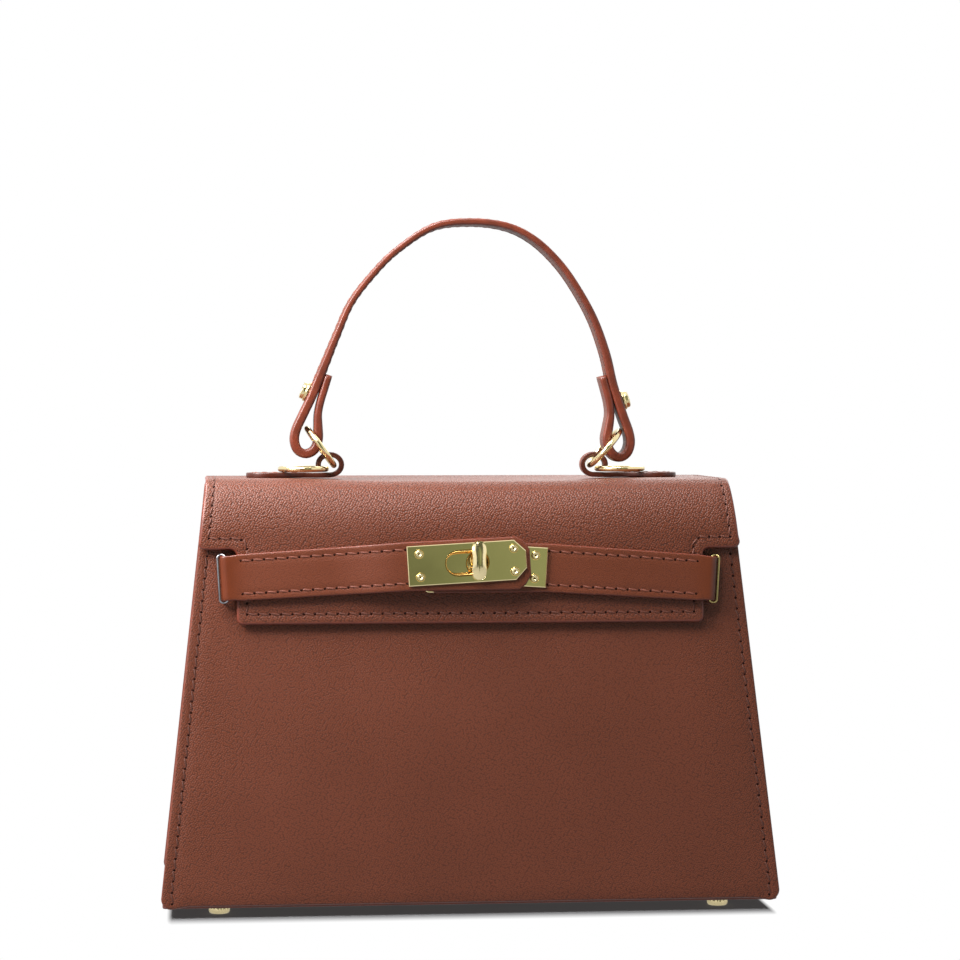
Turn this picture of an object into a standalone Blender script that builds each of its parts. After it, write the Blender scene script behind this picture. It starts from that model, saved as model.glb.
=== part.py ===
"""Leather top-handle bag with a flap, two closing straps and a turning lock.

Metres, +Z up, the front faces -Y. The origin is on the ground, under the middle of the bag.
"""
import math

import bmesh
import bpy
from mathutils import Matrix, Vector
from mathutils.geometry import interpolate_bezier

# Driving sizes of the bag, in metres
BAG_NAME = "leather_bag"
CLEARANCE = 0.0003
OVERRUN = 0.0040
WELD_DISTANCE = 0.00001
SMOOTH_ANGLE = math.radians(35)
BASE_HALF_WIDTH = 0.1400
SIDE_TAPER = 0.0191
BASE_HALF_DEPTH = 0.0560
DEPTH_TAPER = 0.0143
BAG_TOP = 0.1960
WALL_TOP = 0.1835
PANEL_THICKNESS = 0.0024
PANEL_CORNER_RADIUS = 0.0050
BASE_THICKNESS = 0.0024
BOARD_THICKNESS = 0.0018

# Feet
FOOT_HEIGHT = 0.0039
FOOT_RADIUS = 0.0048
FOOT_RIM = 0.0007
FOOT_SIDE_INSET = 0.0260
FOOT_FRONT_INSET = 0.0160
FOOT_SHANK_RADIUS = 0.0015
WASHER_RADIUS = 0.0045
WASHER_THICKNESS = 0.0008
SHANK_STANDOUT = 0.0006

# Gussets, lining and pocket
GUSSET_THICKNESS = 0.0016
SEAM_FLANGE = 0.0037
GUSSET_FOLD_BASE = 0.0010
GUSSET_FOLD_MOUTH = 0.0110
FOLD_SHOULDER_SHARE = 0.25
LINING_THICKNESS = 0.0008
LINING_STANDOFF = 0.0013
LINING_TOP_DROP = 0.0030
POCKET_HALF_WIDTH = 0.0700
POCKET_TOP_DROP = 0.0350
POCKET_DEPTH = 0.0950
POCKET_THICKNESS = 0.0010

# Flap, its hinge band and its lining
FLAP_THICKNESS = 0.0022
FLAP_LINING_THICKNESS = 0.0008
FLAP_STANDOFF = 0.0004
FLAP_FOLD_RADIUS = 0.0120
EAR_DROP = 0.0315
EAR_WIDTH = 0.0171
EAR_CORNER_RADIUS = 0.0030
FLAP_SIDE_REACH = 0.0002
FLAP_FRONT_DROP = 0.0650
NOTCH_RADIUS = 0.0030
LINING_EDGE = 0.0012
HINGE_BAND_HEIGHT = 0.0200

# Turning lock: heights are up the sloping front, offsets are across it
LOCK_X = 0.0024
LOCK_RISE = 0.0072
LOCK_PLATE_HALF_LENGTH = 0.0216
LOCK_PLATE_ABOVE = 0.0075
LOCK_PLATE_BELOW = 0.0140
LOCK_PLATE_THICKNESS = 0.0009
LOCK_PLATE_CORNER_RADIUS = 0.0020
PRONG_OFFSET = 0.0175
PRONG_HALF_WIDTH = 0.0015
PRONG_HALF_THICKNESS = 0.0005
KNOB_HALF_LENGTH = 0.0087
KNOB_HALF_WIDTH = 0.0034
KNOB_THICKNESS = 0.0032
KNOB_CORNER_SHARE = 0.8
COLLAR_RADIUS = 0.0040
COLLAR_NECK_RADIUS = 0.0030
COLLAR_NECK_LENGTH = 0.0010
STEM_RADIUS = 0.0018
STEM_SOCKET_RADIUS = 0.0046
CLIP_RADIUS = 0.0042
CLIP_THICKNESS = 0.0006

# Straps, their plates, rivets and wire loops
STRAP_WRAP_HALF_WIDTH = 0.0094
STRAP_HALF_WIDTH = 0.0104
STRAP_WIDENS_OVER = 0.0040
STRAP_TIP_HALF_WIDTH = 0.0110
STRAP_THICKNESS = 0.0020
STRAP_WRAP_THICKNESS = 0.0014
STRAP_ROOT_INSET_LEFT = 0.0138
STRAP_ROOT_INSET_RIGHT = 0.0153
STRAP_BELOW_EAR_LEFT = 0.0131
STRAP_BELOW_EAR_RIGHT = 0.0142
STRAP_BELOW_LOCK_LEFT = 0.0006
STRAP_BELOW_LOCK_RIGHT = 0.0011
STRAP_TAIL = 0.0020
STRAP_TIP_LIP = 0.0019
STRAP_CHAMFER = 0.0060
STRAP_RISE_LENGTH = 0.0316
PLATE_HALF_WIDTH = 0.0090
PLATE_LENGTH = 0.0537
PLATE_THICKNESS = 0.0010
PLATE_CHAMFER = 0.0052
PLATE_BEFORE_LOCK_LEFT = 0.0321
PLATE_BEFORE_LOCK_RIGHT = 0.0313
SLOT_LENGTH = 0.0195
SLOT_HALF_WIDTH = 0.00565
RIVET_HEAD_RADIUS = 0.00165
RIVET_SHANK_RADIUS = 0.0008
RIVET_DIMPLE_RADIUS = 0.0006
RIVET_DIMPLE_DEPTH = 0.00025
RIVET_ALONG = 0.0214
RIVET_ACROSS = 0.0052
LOOP_WIRE_RADIUS = 0.00075
LOOP_WIDTH = 0.0040
LOOP_CORNER_RADIUS = 0.0012
BACK_PLATE_THICKNESS = 0.0006
BACK_PLATE_HALF_WIDTH = 0.0017
BACK_PLATE_MARGIN = 0.0018

# Handle tabs on the flap
TAB_SIDE_INSET = 0.0188
TAB_LENGTH = 0.0450
TAB_THICKNESS = 0.0020
TAB_HALF_WIDTH = 0.0090
TAB_LOOP_HALF_WIDTH = 0.0028
TAB_NECK_LENGTH = 0.0290
TAB_LOOP_THICKNESS = 0.0017
TAB_EYE_LENGTH = 0.0086
TAB_EYE_HEIGHT = 0.0072
TAB_CURL_DEGREES = 262

# Rings
RING_RADIUS = 0.0106
RING_WIRE_RADIUS = 0.00135
SHOULDER_RING_PLAY = 0.0012
HANDLE_RING_PLAY = 0.0011
RING_TILT_LEFT = math.radians(36.0)
RING_TILT_RIGHT = math.radians(41.3)

# Handle
HANDLE_OVERHANG = 0.0159
HANDLE_LOOP_LENGTH = 0.0200
HANDLE_RISE = 0.1190
ARCH_START_RISE = 0.0420
HANDLE_HALF_WIDTH = 0.0090
HANDLE_END_HALF_WIDTH = 0.0065
HANDLE_THICKNESS = 0.0030
HANDLE_END_THICKNESS = 0.0039
HANDLE_TAIL_THICKNESS = 0.0026
STUD_RADIUS = 0.0048
STUD_TOP_RADIUS = 0.0032
STUD_HEIGHT = 0.0036
STUD_STEP = 0.0012
STUD_SHANK_RADIUS = 0.0015
STUD_NUT_RADIUS = 0.0034
STUD_NUT_HEIGHT = 0.0010

# Counts of facets
ROUND_FACETS = 24
SMALL_ROUND_FACETS = 12
RING_FACETS = 28
WIRE_FACETS = 8
ARC_STEPS = 6
SIDE_LEVELS = 8
HANDLE_STEPS = 3

# Turning knob's bar from its back to its face, as shares of the half width and of the thickness
KNOB_BAR_SHARES = ((0.80, 0), (1, 0.3), (1, 0.65), (0.72, 1))

# Handle's end loops from the tail round the ring, inwards and up from the ring's upper wire,
# as shares of the loop length; and the arch between them, as shares of the half span and of its rise
LEFT_LOOP_SHARES = (
    (0.496, 1.244), (0.405, 0.943), (0.312, 0.642), (0.251, 0.340), (0.251, 0.039),
    (0.255, -0.239), (0.171, -0.482), (-0.026, -0.586), (-0.215, -0.505), (-0.296, -0.285),
    (-0.259, -0.030), (-0.105, 0.306), (0.106, 0.746), (0.243, 1.082),
)
RIGHT_LOOP_SHARES = (
    (0.428, 1.291), (0.350, 1.010), (0.272, 0.706), (0.237, 0.402), (0.275, 0.098),
    (0.322, -0.207), (0.237, -0.476), (0.045, -0.619), (-0.149, -0.523), (-0.234, -0.289),
    (-0.198, -0.020), (-0.067, 0.343), (0.073, 0.753), (0.196, 1.151),
)
ARCH_SHARES = (
    (-0.824, 0.144), (-0.754, 0.318), (-0.670, 0.509), (-0.539, 0.682), (-0.397, 0.825),
    (-0.180, 0.968), (0.045, 1.000), (0.262, 0.975), (0.427, 0.895), (0.574, 0.757),
    (0.688, 0.597), (0.789, 0.410), (0.861, 0.207),
)
HANDLE_STUD_STATIONS = (12, 28)
HANDLE_TAIL_STATIONS = 4
HANDLE_THICKENS_FROM = 2.5
HANDLE_THICKENS_OVER = 2
HANDLE_WIDENS_FROM = 13
HANDLE_WIDENS_OVER = 3


def half_width_at(z):
    return BASE_HALF_WIDTH - SIDE_TAPER * (z - BASE_BOTTOM) / (WALL_TOP - BASE_BOTTOM)


def half_depth_at(z):
    return BASE_HALF_DEPTH - DEPTH_TAPER * (z - BASE_BOTTOM) / (WALL_TOP - BASE_BOTTOM)


# Places worked out from the sizes above
BASE_BOTTOM = FOOT_HEIGHT + CLEARANCE
BASE_TOP = BASE_BOTTOM + BASE_THICKNESS
BOARD_BOTTOM = BASE_TOP + CLEARANCE
BOARD_TOP = BOARD_BOTTOM + BOARD_THICKNESS
WASHER_BOTTOM = BOARD_TOP + CLEARANCE
FOOT_X = BASE_HALF_WIDTH - FOOT_SIDE_INSET
FOOT_Y = BASE_HALF_DEPTH - FOOT_FRONT_INSET
SHANK_TOP = WASHER_BOTTOM + WASHER_THICKNESS + SHANK_STANDOUT
LINING_BOTTOM = SHANK_TOP + CLEARANCE
LINING_TOP = WALL_TOP - LINING_TOP_DROP
LEAN = math.atan(DEPTH_TAPER / (WALL_TOP - BASE_BOTTOM))
SLOPE_HEIGHT = (WALL_TOP - BASE_BOTTOM) / math.cos(LEAN)
FRONT_FOOT = SLOPE_HEIGHT + BAG_TOP - WALL_TOP - FLAP_FRONT_DROP
FLAP_STACK = FLAP_THICKNESS + CLEARANCE + FLAP_LINING_THICKNESS
FLAP_OUTSIDE = FLAP_STANDOFF + FLAP_STACK
HINGE_RADIUS = FLAP_STACK / 2
HINGE_Z = BAG_TOP - HINGE_RADIUS
HINGE_Y = half_depth_at(HINGE_Z) + CLEARANCE + FLAP_THICKNESS / 2
FLAP_TOP_HALF_WIDTH = half_width_at(BAG_TOP) + FLAP_SIDE_REACH
EAR_HALF_WIDTH = half_width_at(BAG_TOP - EAR_DROP) + FLAP_SIDE_REACH
FLAP_FRONT_HALF_WIDTH = EAR_HALF_WIDTH - EAR_WIDTH
LOCK_PLATE_BACK = FLAP_OUTSIDE + CLEARANCE
LOCK_PLATE_FRONT = LOCK_PLATE_BACK + LOCK_PLATE_THICKNESS
STRAP_BORE = LOOP_WIRE_RADIUS + CLEARANCE
LOOP_REACH = STRAP_WRAP_HALF_WIDTH + CLEARANCE + LOOP_WIRE_RADIUS
STRAP_WRAP = STRAP_BORE + STRAP_WRAP_THICKNESS
LOOP_OUT = LOCK_PLATE_FRONT + CLEARANCE - STRAP_BORE
PLATE_BACK = STRAP_BORE + STRAP_THICKNESS + CLEARANCE
STRAP_LAYER = STRAP_THICKNESS + PLATE_THICKNESS + 2 * CLEARANCE
KNOB_BACK = LOOP_OUT + STRAP_BORE + 2 * STRAP_LAYER
TAB_OUTER_X = FLAP_TOP_HALF_WIDTH - TAB_SIDE_INSET
TAB_LOOP_X = TAB_OUTER_X - TAB_LENGTH
TAB_NECK_X = TAB_OUTER_X - TAB_NECK_LENGTH
EYE_X = TAB_LOOP_X + TAB_LOOP_THICKNESS + TAB_EYE_LENGTH / 2
HANDLE_HALF_SPAN = EYE_X + HANDLE_OVERHANG
EAR_HEIGHT = (BAG_TOP - EAR_DROP - BASE_BOTTOM) / math.cos(LEAN)
STRAP_ROOT_HEIGHT_LEFT = EAR_HEIGHT - STRAP_BELOW_EAR_LEFT
STRAP_ROOT_HEIGHT_RIGHT = EAR_HEIGHT - STRAP_BELOW_EAR_RIGHT
STRAP_SIDE_X = EAR_HALF_WIDTH + SIDE_TAPER * STRAP_BELOW_EAR_LEFT / SLOPE_HEIGHT
STRAP_ROOT_X_LEFT = STRAP_SIDE_X - STRAP_ROOT_INSET_LEFT
STRAP_ROOT_X_RIGHT = STRAP_SIDE_X - STRAP_ROOT_INSET_RIGHT
LOCK_HEIGHT = STRAP_ROOT_HEIGHT_LEFT + LOCK_RISE
STRAP_RISE_LEFT = LOCK_HEIGHT - STRAP_BELOW_LOCK_LEFT - STRAP_ROOT_HEIGHT_LEFT
STRAP_RISE_RIGHT = LOCK_HEIGHT - STRAP_BELOW_LOCK_RIGHT - STRAP_ROOT_HEIGHT_RIGHT
STRAP_REACH_LEFT = (STRAP_ROOT_X_LEFT + LOCK_X, STRAP_RISE_LEFT)
STRAP_REACH_RIGHT = (STRAP_ROOT_X_RIGHT - LOCK_X, STRAP_RISE_RIGHT)
PLATE_START_LEFT = math.hypot(*STRAP_REACH_LEFT) - PLATE_BEFORE_LOCK_LEFT
PLATE_START_RIGHT = math.hypot(*STRAP_REACH_RIGHT) - PLATE_BEFORE_LOCK_RIGHT
TAB_BOTTOM = BAG_TOP + CLEARANCE
TAB_TOP = TAB_BOTTOM + TAB_THICKNESS
EYE_Z = TAB_TOP + TAB_EYE_HEIGHT / 2
SHOULDER_RING_Z = TAB_TOP + CLEARANCE + RING_WIRE_RADIUS


def front_matrix():
    """Frame on the outside of the front: x across, y up its slope, z out of it."""
    foot = Matrix.Translation((0, -BASE_HALF_DEPTH, BASE_BOTTOM))
    return foot @ Matrix.Rotation(math.pi / 2 - LEAN, 4, "X")


def back_matrix():
    return Matrix.Rotation(math.pi, 4, "Z") @ front_matrix()


def lock_matrix():
    return front_matrix() @ Matrix.Translation((LOCK_X, LOCK_HEIGHT, 0))


def strap_matrix(side):
    """Frame on a strap's wire: x along the strap to the middle of the bag, z out of the front."""
    root_x = STRAP_ROOT_X_LEFT if side < 0 else STRAP_ROOT_X_RIGHT
    height = STRAP_ROOT_HEIGHT_LEFT if side < 0 else STRAP_ROOT_HEIGHT_RIGHT
    across, up = STRAP_REACH_LEFT if side < 0 else STRAP_REACH_RIGHT
    place = Matrix.Translation((side * root_x, height, LOOP_OUT))
    return front_matrix() @ place @ Matrix.Rotation(math.atan2(up, -side * across), 4, "Z")


def clear_scene():
    for item in list(bpy.data.objects):
        bpy.data.objects.remove(item, do_unlink=True)
    for group in list(bpy.data.collections):
        bpy.data.collections.remove(group)


def make_collection(name):
    group = bpy.data.collections.new(name)
    bpy.context.scene.collection.children.link(group)
    return group


def make_material(name, colour, roughness, metallic=0.0):
    material = bpy.data.materials.new(name)
    material.use_nodes = True
    shader = material.node_tree.nodes["Principled BSDF"]
    shader.inputs["Base Color"].default_value = (*colour, 1.0)
    shader.inputs["Roughness"].default_value = roughness
    shader.inputs["Metallic"].default_value = metallic
    material.diffuse_color = (*colour, 1.0)
    return material


def add_piece(name, mesh, material, matrix=None, parent=None, group=None):
    """Link a mesh as a named piece; the mesh is given in the frame of matrix."""
    piece = bpy.data.objects.new(name, mesh)
    (group or PARTS).objects.link(piece)
    piece.matrix_world = matrix or Matrix()
    if parent:
        piece.parent = parent
        piece.matrix_parent_inverse = parent.matrix_world.inverted()
    mesh.materials.clear()
    mesh.materials.append(material)
    return piece


def add_pivot(name, matrix, parent=None):
    pivot = bpy.data.objects.new(name, None)
    pivot.empty_display_size = RING_RADIUS
    PARTS.objects.link(pivot)
    pivot.matrix_world = matrix
    if parent:
        pivot.parent = parent
        pivot.matrix_parent_inverse = parent.matrix_world.inverted()
    bpy.context.view_layer.update()
    return pivot


def mesh_from_bmesh(name, build):
    mesh = bpy.data.meshes.new(name)
    build.to_mesh(mesh)
    build.free()
    return mesh


def mesh_from_curve(curve):
    """Turn a curve's data into a welded closed mesh."""
    holder = bpy.data.objects.new(curve.name, curve)
    bpy.context.scene.collection.objects.link(holder)
    bpy.context.view_layer.update()
    evaluated = holder.evaluated_get(bpy.context.evaluated_depsgraph_get())
    mesh = bpy.data.meshes.new_from_object(evaluated)
    bpy.data.objects.remove(holder)
    bpy.data.curves.remove(curve)
    build = bmesh.new()
    build.from_mesh(mesh)
    bmesh.ops.remove_doubles(build, verts=build.verts, dist=WELD_DISTANCE)
    bmesh.ops.recalc_face_normals(build, faces=build.faces)
    build.to_mesh(mesh)
    build.free()
    return mesh


def outline_mesh(name, outline, low, high, holes=()):
    """Flat outline in x and y, filled between the heights low and high of its frame."""
    curve = bpy.data.curves.new(name, "CURVE")
    curve.dimensions = "2D"
    curve.fill_mode = "BOTH"
    curve.extrude = (high - low) / 2
    for points in (outline, *holes):
        spline = curve.splines.new("POLY")
        spline.points.add(len(points) - 1)
        for target, (x, y) in zip(spline.points, points):
            target.co = (x, y, 0, 1)
        spline.use_cyclic_u = True
    mesh = mesh_from_curve(curve)
    mesh.transform(Matrix.Translation((0, 0, (low + high) / 2)))
    return mesh


def arc(centre, radius, start, end, steps=ARC_STEPS):
    """Points on an arc, angles in degrees, both ends included."""
    angles = [math.radians(start + (end - start) * i / steps) for i in range(steps + 1)]
    return [(centre[0] + radius * math.cos(a), centre[1] + radius * math.sin(a)) for a in angles]


def circle(centre, radius, facets=SMALL_ROUND_FACETS):
    return arc(centre, radius, 0, 360, facets)[:-1]


def slot_outline(centre, half_length, half_width):
    reach = half_length - half_width
    right = arc((centre[0] + reach, centre[1]), half_width, -90, 90)
    left = arc((centre[0] - reach, centre[1]), half_width, 90, 270)
    return right + left


def rectangle(low, high):
    return [(low[0], low[1]), (high[0], low[1]), (high[0], high[1]), (low[0], high[1])]


def rounded_rectangle(half_x, half_y, radius):
    inner_x, inner_y = half_x - radius, half_y - radius
    return (
        arc((inner_x, -inner_y), radius, -90, 0, ARC_STEPS // 2)
        + arc((inner_x, inner_y), radius, 0, 90, ARC_STEPS // 2)
        + arc((-inner_x, inner_y), radius, 90, 180, ARC_STEPS // 2)
        + arc((-inner_x, -inner_y), radius, 180, 270, ARC_STEPS // 2)
    )


def loft_mesh(name, sections):
    """Skin over closed sections of equal counts of points, with both ends filled."""
    build = bmesh.new()
    rows = [[build.verts.new(point) for point in section] for section in sections]
    count = len(rows[0])
    for low, high in zip(rows, rows[1:]):
        for i in range(count):
            j = (i + 1) % count
            build.faces.new((low[i], low[j], high[j], high[i]))
    build.faces.new(rows[0][::-1])
    build.faces.new(rows[-1])
    bmesh.ops.recalc_face_normals(build, faces=build.faces)
    return mesh_from_bmesh(name, build)


def turned_mesh(name, profile, facets=ROUND_FACETS):
    """Solid turned about z; the profile runs down its outer side from the axis to the axis."""
    build = bmesh.new()
    points = [build.verts.new((radius, 0, z)) for radius, z in profile]
    for first, second in zip(points, points[1:]):
        build.edges.new((first, second))
    mesh = mesh_from_bmesh(name, build)
    holder = bpy.data.objects.new(name, mesh)
    bpy.context.scene.collection.objects.link(holder)
    screw = holder.modifiers.new("turn", "SCREW")
    screw.steps = facets
    screw.render_steps = facets
    screw.use_merge_vertices = True
    screw.merge_threshold = WELD_DISTANCE
    screw.use_normal_calculate = True
    return baked_mesh(holder)


def baked_mesh(holder):
    """Mesh of an object with its modifiers applied; the object goes."""
    bpy.context.view_layer.update()
    evaluated = holder.evaluated_get(bpy.context.evaluated_depsgraph_get())
    result = bpy.data.meshes.new_from_object(evaluated)
    result.name = holder.name
    old = holder.data
    bpy.data.objects.remove(holder)
    if old.users == 0:
        bpy.data.meshes.remove(old)
    build = bmesh.new()
    build.from_mesh(result)
    bmesh.ops.recalc_face_normals(build, faces=build.faces)
    build.to_mesh(result)
    build.free()
    return result


def add_cut(piece, name, mesh, operation="DIFFERENCE", matrix=None):
    """Boolean with a cutter that stays in the cutters' collection."""
    cutter = bpy.data.objects.new(name, mesh)
    CUTTERS.objects.link(cutter)
    cutter.matrix_world = piece.matrix_world if matrix is None else matrix
    cutter.hide_render = True
    cutter.display_type = "WIRE"
    modifier = piece.modifiers.new(name, "BOOLEAN")
    modifier.operation = operation
    modifier.solver = "EXACT"
    modifier.object = cutter
    return cutter


def smooth(piece):
    piece.data.shade_smooth()
    piece.data.set_sharp_from_angle(angle=SMOOTH_ANGLE)


def smooth_line(points, steps):
    """Points along one smooth curve through the given points."""
    places = [Vector(point) for point in points]
    result = []
    for i in range(len(places) - 1):
        before = places[i - 1] if i else places[i]
        after = places[i + 2] if i + 2 < len(places) else places[i + 1]
        first, last = places[i], places[i + 1]
        handles = (first + (last - before) / 6, last - (after - first) / 6)
        run = interpolate_bezier(first, *handles, last, steps + 1)
        result += run if i == len(places) - 2 else run[:-1]
    return result


def line_normals(line):
    """Normal of a line in its x-z plane at each point, on the left of its run."""
    normals = []
    for i in range(len(line)):
        run = line[min(i + 1, len(line) - 1)] - line[max(i - 1, 0)]
        run.normalize()
        normals.append(Vector((-run.z, 0, run.x)))
    return normals


def band_mesh(name, line, half_widths, thicknesses):
    """Flat band along a line in the x-z plane, its width along y."""
    sections = []
    for point, normal, half_width, thickness in zip(line, line_normals(line), half_widths, thicknesses):
        out = normal * thickness / 2
        side = Vector((0, half_width, 0))
        sections.append([point + out + side, point - out + side, point - out - side, point + out - side])
    return loft_mesh(name, sections)


def trapezoid_outline(low, high, inset, corner):
    """Outline on the front's slope between two heights, with round lower corners."""
    def side(height):
        return half_width_at(BASE_BOTTOM + height * math.cos(LEAN)) - inset

    lower = arc((side(low) - corner, low + corner), corner, -90, 0)
    left = [(-x, y) for x, y in reversed(lower)]
    return lower + [(side(high), high), (-side(high), high)] + left


def build_walls():
    for name, matrix in (("front_panel", front_matrix()), ("back_panel", back_matrix())):
        outline = trapezoid_outline(0, SLOPE_HEIGHT, 0, PANEL_CORNER_RADIUS)
        holes = []
        if name == "front_panel":
            for side in (-1, 1):
                bore = LOOP_WIRE_RADIUS + CLEARANCE
                holes += [circle(place, bore, WIRE_FACETS) for place in loop_leg_places(side)]
        mesh = outline_mesh(name, outline, -PANEL_THICKNESS, 0, holes)
        add_piece(name, mesh, LEATHER, matrix)


def loop_leg_places(side):
    """Where a wire loop's two legs cross the front, in the front's frame."""
    to_front = front_matrix().inverted() @ strap_matrix(side)
    places = [to_front @ Vector((-LOOP_WIDTH / 2, sign * LOOP_REACH, 0)) for sign in (-1, 1)]
    return [(place.x, place.y) for place in places]


def base_slab(name, low, high, half_x, half_y, material):
    """Flat slab of the base with holes for the feet's shanks."""
    outline = rectangle((-half_x, -half_y), (half_x, half_y))
    holes = [
        circle((x * FOOT_X, y * FOOT_Y), FOOT_SHANK_RADIUS + CLEARANCE)
        for x in (-1, 1)
        for y in (-1, 1)
    ]
    add_piece(name, outline_mesh(name, outline, low, high, holes), material)


def build_base():
    depth = half_depth_at(BASE_TOP) - (PANEL_THICKNESS + CLEARANCE) / math.cos(LEAN)
    base_slab("base_panel", BASE_BOTTOM, BASE_TOP, half_width_at(BASE_TOP) - CLEARANCE, depth, LEATHER)
    gusset_foot = SEAM_FLANGE + GUSSET_FOLD_BASE + GUSSET_THICKNESS + 2 * CLEARANCE
    walls = PANEL_THICKNESS + GUSSET_THICKNESS + 2 * CLEARANCE
    board_depth = half_depth_at(BOARD_TOP) - walls / math.cos(LEAN)
    board_width = half_width_at(BOARD_TOP) - gusset_foot
    base_slab("base_board", BOARD_BOTTOM, BOARD_TOP, board_width, board_depth, BOARD)


def build_feet():
    foot = turned_mesh("foot", (
        (0, SHANK_TOP),
        (FOOT_SHANK_RADIUS, SHANK_TOP),
        (FOOT_SHANK_RADIUS, FOOT_HEIGHT),
        (FOOT_RADIUS, FOOT_HEIGHT),
        (FOOT_RADIUS, FOOT_RIM),
        (FOOT_RADIUS - FOOT_RIM, 0),
        (0, 0),
    ))
    ring = circle((0, 0), WASHER_RADIUS, ROUND_FACETS)
    hole = circle((0, 0), FOOT_SHANK_RADIUS + CLEARANCE)
    washer = outline_mesh("foot_washer", ring, WASHER_BOTTOM, WASHER_BOTTOM + WASHER_THICKNESS, [hole])
    for end, y in (("front", -1), ("rear", 1)):
        for side, x in (("left", -1), ("right", 1)):
            place = Matrix.Translation((x * FOOT_X, y * FOOT_Y, 0))
            smooth(add_piece(f"foot_{end}_{side}", foot, GOLD, place))
            smooth(add_piece(f"foot_washer_{end}_{side}", washer, STEEL, place))


def side_wall(z, inset):
    """Half of a side wall seen from above, from the front or back to its inward fold."""
    share = (z - BASE_BOTTOM) / (WALL_TOP - BASE_BOTTOM)
    fold = GUSSET_FOLD_BASE + share * (GUSSET_FOLD_MOUTH - GUSSET_FOLD_BASE)
    wall = half_width_at(z) - CLEARANCE - SEAM_FLANGE - inset
    depth = half_depth_at(z) - (PANEL_THICKNESS + CLEARANCE) / math.cos(LEAN)
    return [(wall, depth), (wall - fold * FOLD_SHOULDER_SHARE, depth / 2), (wall - fold, 0)]


def spaced(first, last, steps):
    return [first + (last - first) * i / steps for i in range(steps + 1)]


def mirrored(half):
    """A half seen from above, continued past its point on the middle."""
    return half + [(x, -y) for x, y in reversed(half[:-1])]


def gusset_section(z):
    """Right side wall seen from above: seam flanges and an inward fold, as a closed outline."""
    edge = half_width_at(z) - CLEARANCE
    outer, inner = side_wall(z, 0), side_wall(z, GUSSET_THICKNESS)
    depth = outer[0][1]
    lip = depth - GUSSET_THICKNESS
    outer[0] = (outer[0][0], lip)
    outside = [(edge, depth), (edge, lip)] + mirrored(outer) + [(edge, -lip), (edge, -depth)]
    return outside + mirrored(inner)[::-1]


def build_gussets():
    levels = spaced(BOARD_BOTTOM, WALL_TOP - CLEARANCE, SIDE_LEVELS)
    for name, side in (("gusset_left", -1), ("gusset_right", 1)):
        sections = [[(side * x, y, z) for x, y in gusset_section(z)] for z in levels]
        add_piece(name, loft_mesh(name, sections), LEATHER)


def lining_section(z, inset):
    """Closed outline of one face of the lining at one height."""
    half = side_wall(z, GUSSET_THICKNESS + LINING_STANDOFF + inset)
    depth = half_depth_at(z) - (PANEL_THICKNESS + LINING_STANDOFF + inset) / math.cos(LEAN)
    half[0] = (half[0][0], depth)
    right = mirrored(half)
    middle = half[0][0] / 2
    left = [(-x, y) for x, y in reversed(right)]
    return [(middle, depth)] + right + [(middle, -depth), (-middle, -depth)] + left + [(-middle, depth)]


def build_lining():
    """Open box: up its outer face, over the rim and down its inner face to the floor."""
    outer = [(z, 0) for z in spaced(LINING_BOTTOM, LINING_TOP, SIDE_LEVELS)]
    floor = LINING_BOTTOM + LINING_THICKNESS
    inner = [(z, LINING_THICKNESS) for z in spaced(LINING_TOP, floor, SIDE_LEVELS)]
    sections = [[(x, y, z) for x, y in lining_section(z, inset)] for z, inset in outer + inner]
    add_piece("lining", loft_mesh("lining", sections), LINING)


def build_pocket():
    inside = PANEL_THICKNESS + LINING_STANDOFF + LINING_THICKNESS + CLEARANCE
    high = SLOPE_HEIGHT - POCKET_TOP_DROP
    outline = rectangle((-POCKET_HALF_WIDTH, high - POCKET_DEPTH), (POCKET_HALF_WIDTH, high))
    mesh = outline_mesh("inner_pocket", outline, -inside - POCKET_THICKNESS, -inside)
    add_piece("inner_pocket", mesh, LINING, back_matrix())


def build_strap_loop(name, side):
    """Wire frame that a strap turns on, with two legs through the front."""
    frame = rounded_rectangle(LOOP_WIDTH / 2, LOOP_REACH, LOOP_CORNER_RADIUS)
    curve = bpy.data.curves.new(name, "CURVE")
    curve.dimensions = "3D"
    curve.bevel_depth = LOOP_WIRE_RADIUS
    curve.bevel_resolution = 1
    spline = curve.splines.new("POLY")
    spline.points.add(len(frame) - 1)
    for target, (x, y) in zip(spline.points, frame):
        target.co = (x - LOOP_WIDTH / 2, y, 0, 1)
    spline.use_cyclic_u = True
    loop = add_piece(name, mesh_from_curve(curve), GOLD, strap_matrix(side))
    leg_end = -LOOP_OUT - PANEL_THICKNESS - BACK_PLATE_THICKNESS - CLEARANCE
    for sign in (-1, 1):
        place = (-LOOP_WIDTH / 2, sign * LOOP_REACH)
        leg = outline_mesh(f"{name}_leg", circle(place, LOOP_WIRE_RADIUS, WIRE_FACETS), leg_end, 0)
        add_cut(loop, f"{name}_leg_cut", leg, "UNION")


def build_loop_plate(name, side):
    """Plate behind the front that the wire loop's legs are riveted over."""
    reach = LOOP_REACH + BACK_PLATE_MARGIN
    outline = rectangle(
        (-LOOP_WIDTH / 2 - BACK_PLATE_HALF_WIDTH, -reach), (-LOOP_WIDTH / 2 + BACK_PLATE_HALF_WIDTH, reach)
    )
    bore = LOOP_WIRE_RADIUS + CLEARANCE
    holes = [circle((-LOOP_WIDTH / 2, sign * LOOP_REACH), bore, WIRE_FACETS) for sign in (-1, 1)]
    back = -LOOP_OUT - PANEL_THICKNESS - CLEARANCE
    mesh = outline_mesh(name, outline, back - BACK_PLATE_THICKNESS, back, holes)
    add_piece(name, mesh, STEEL, strap_matrix(side))


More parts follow.
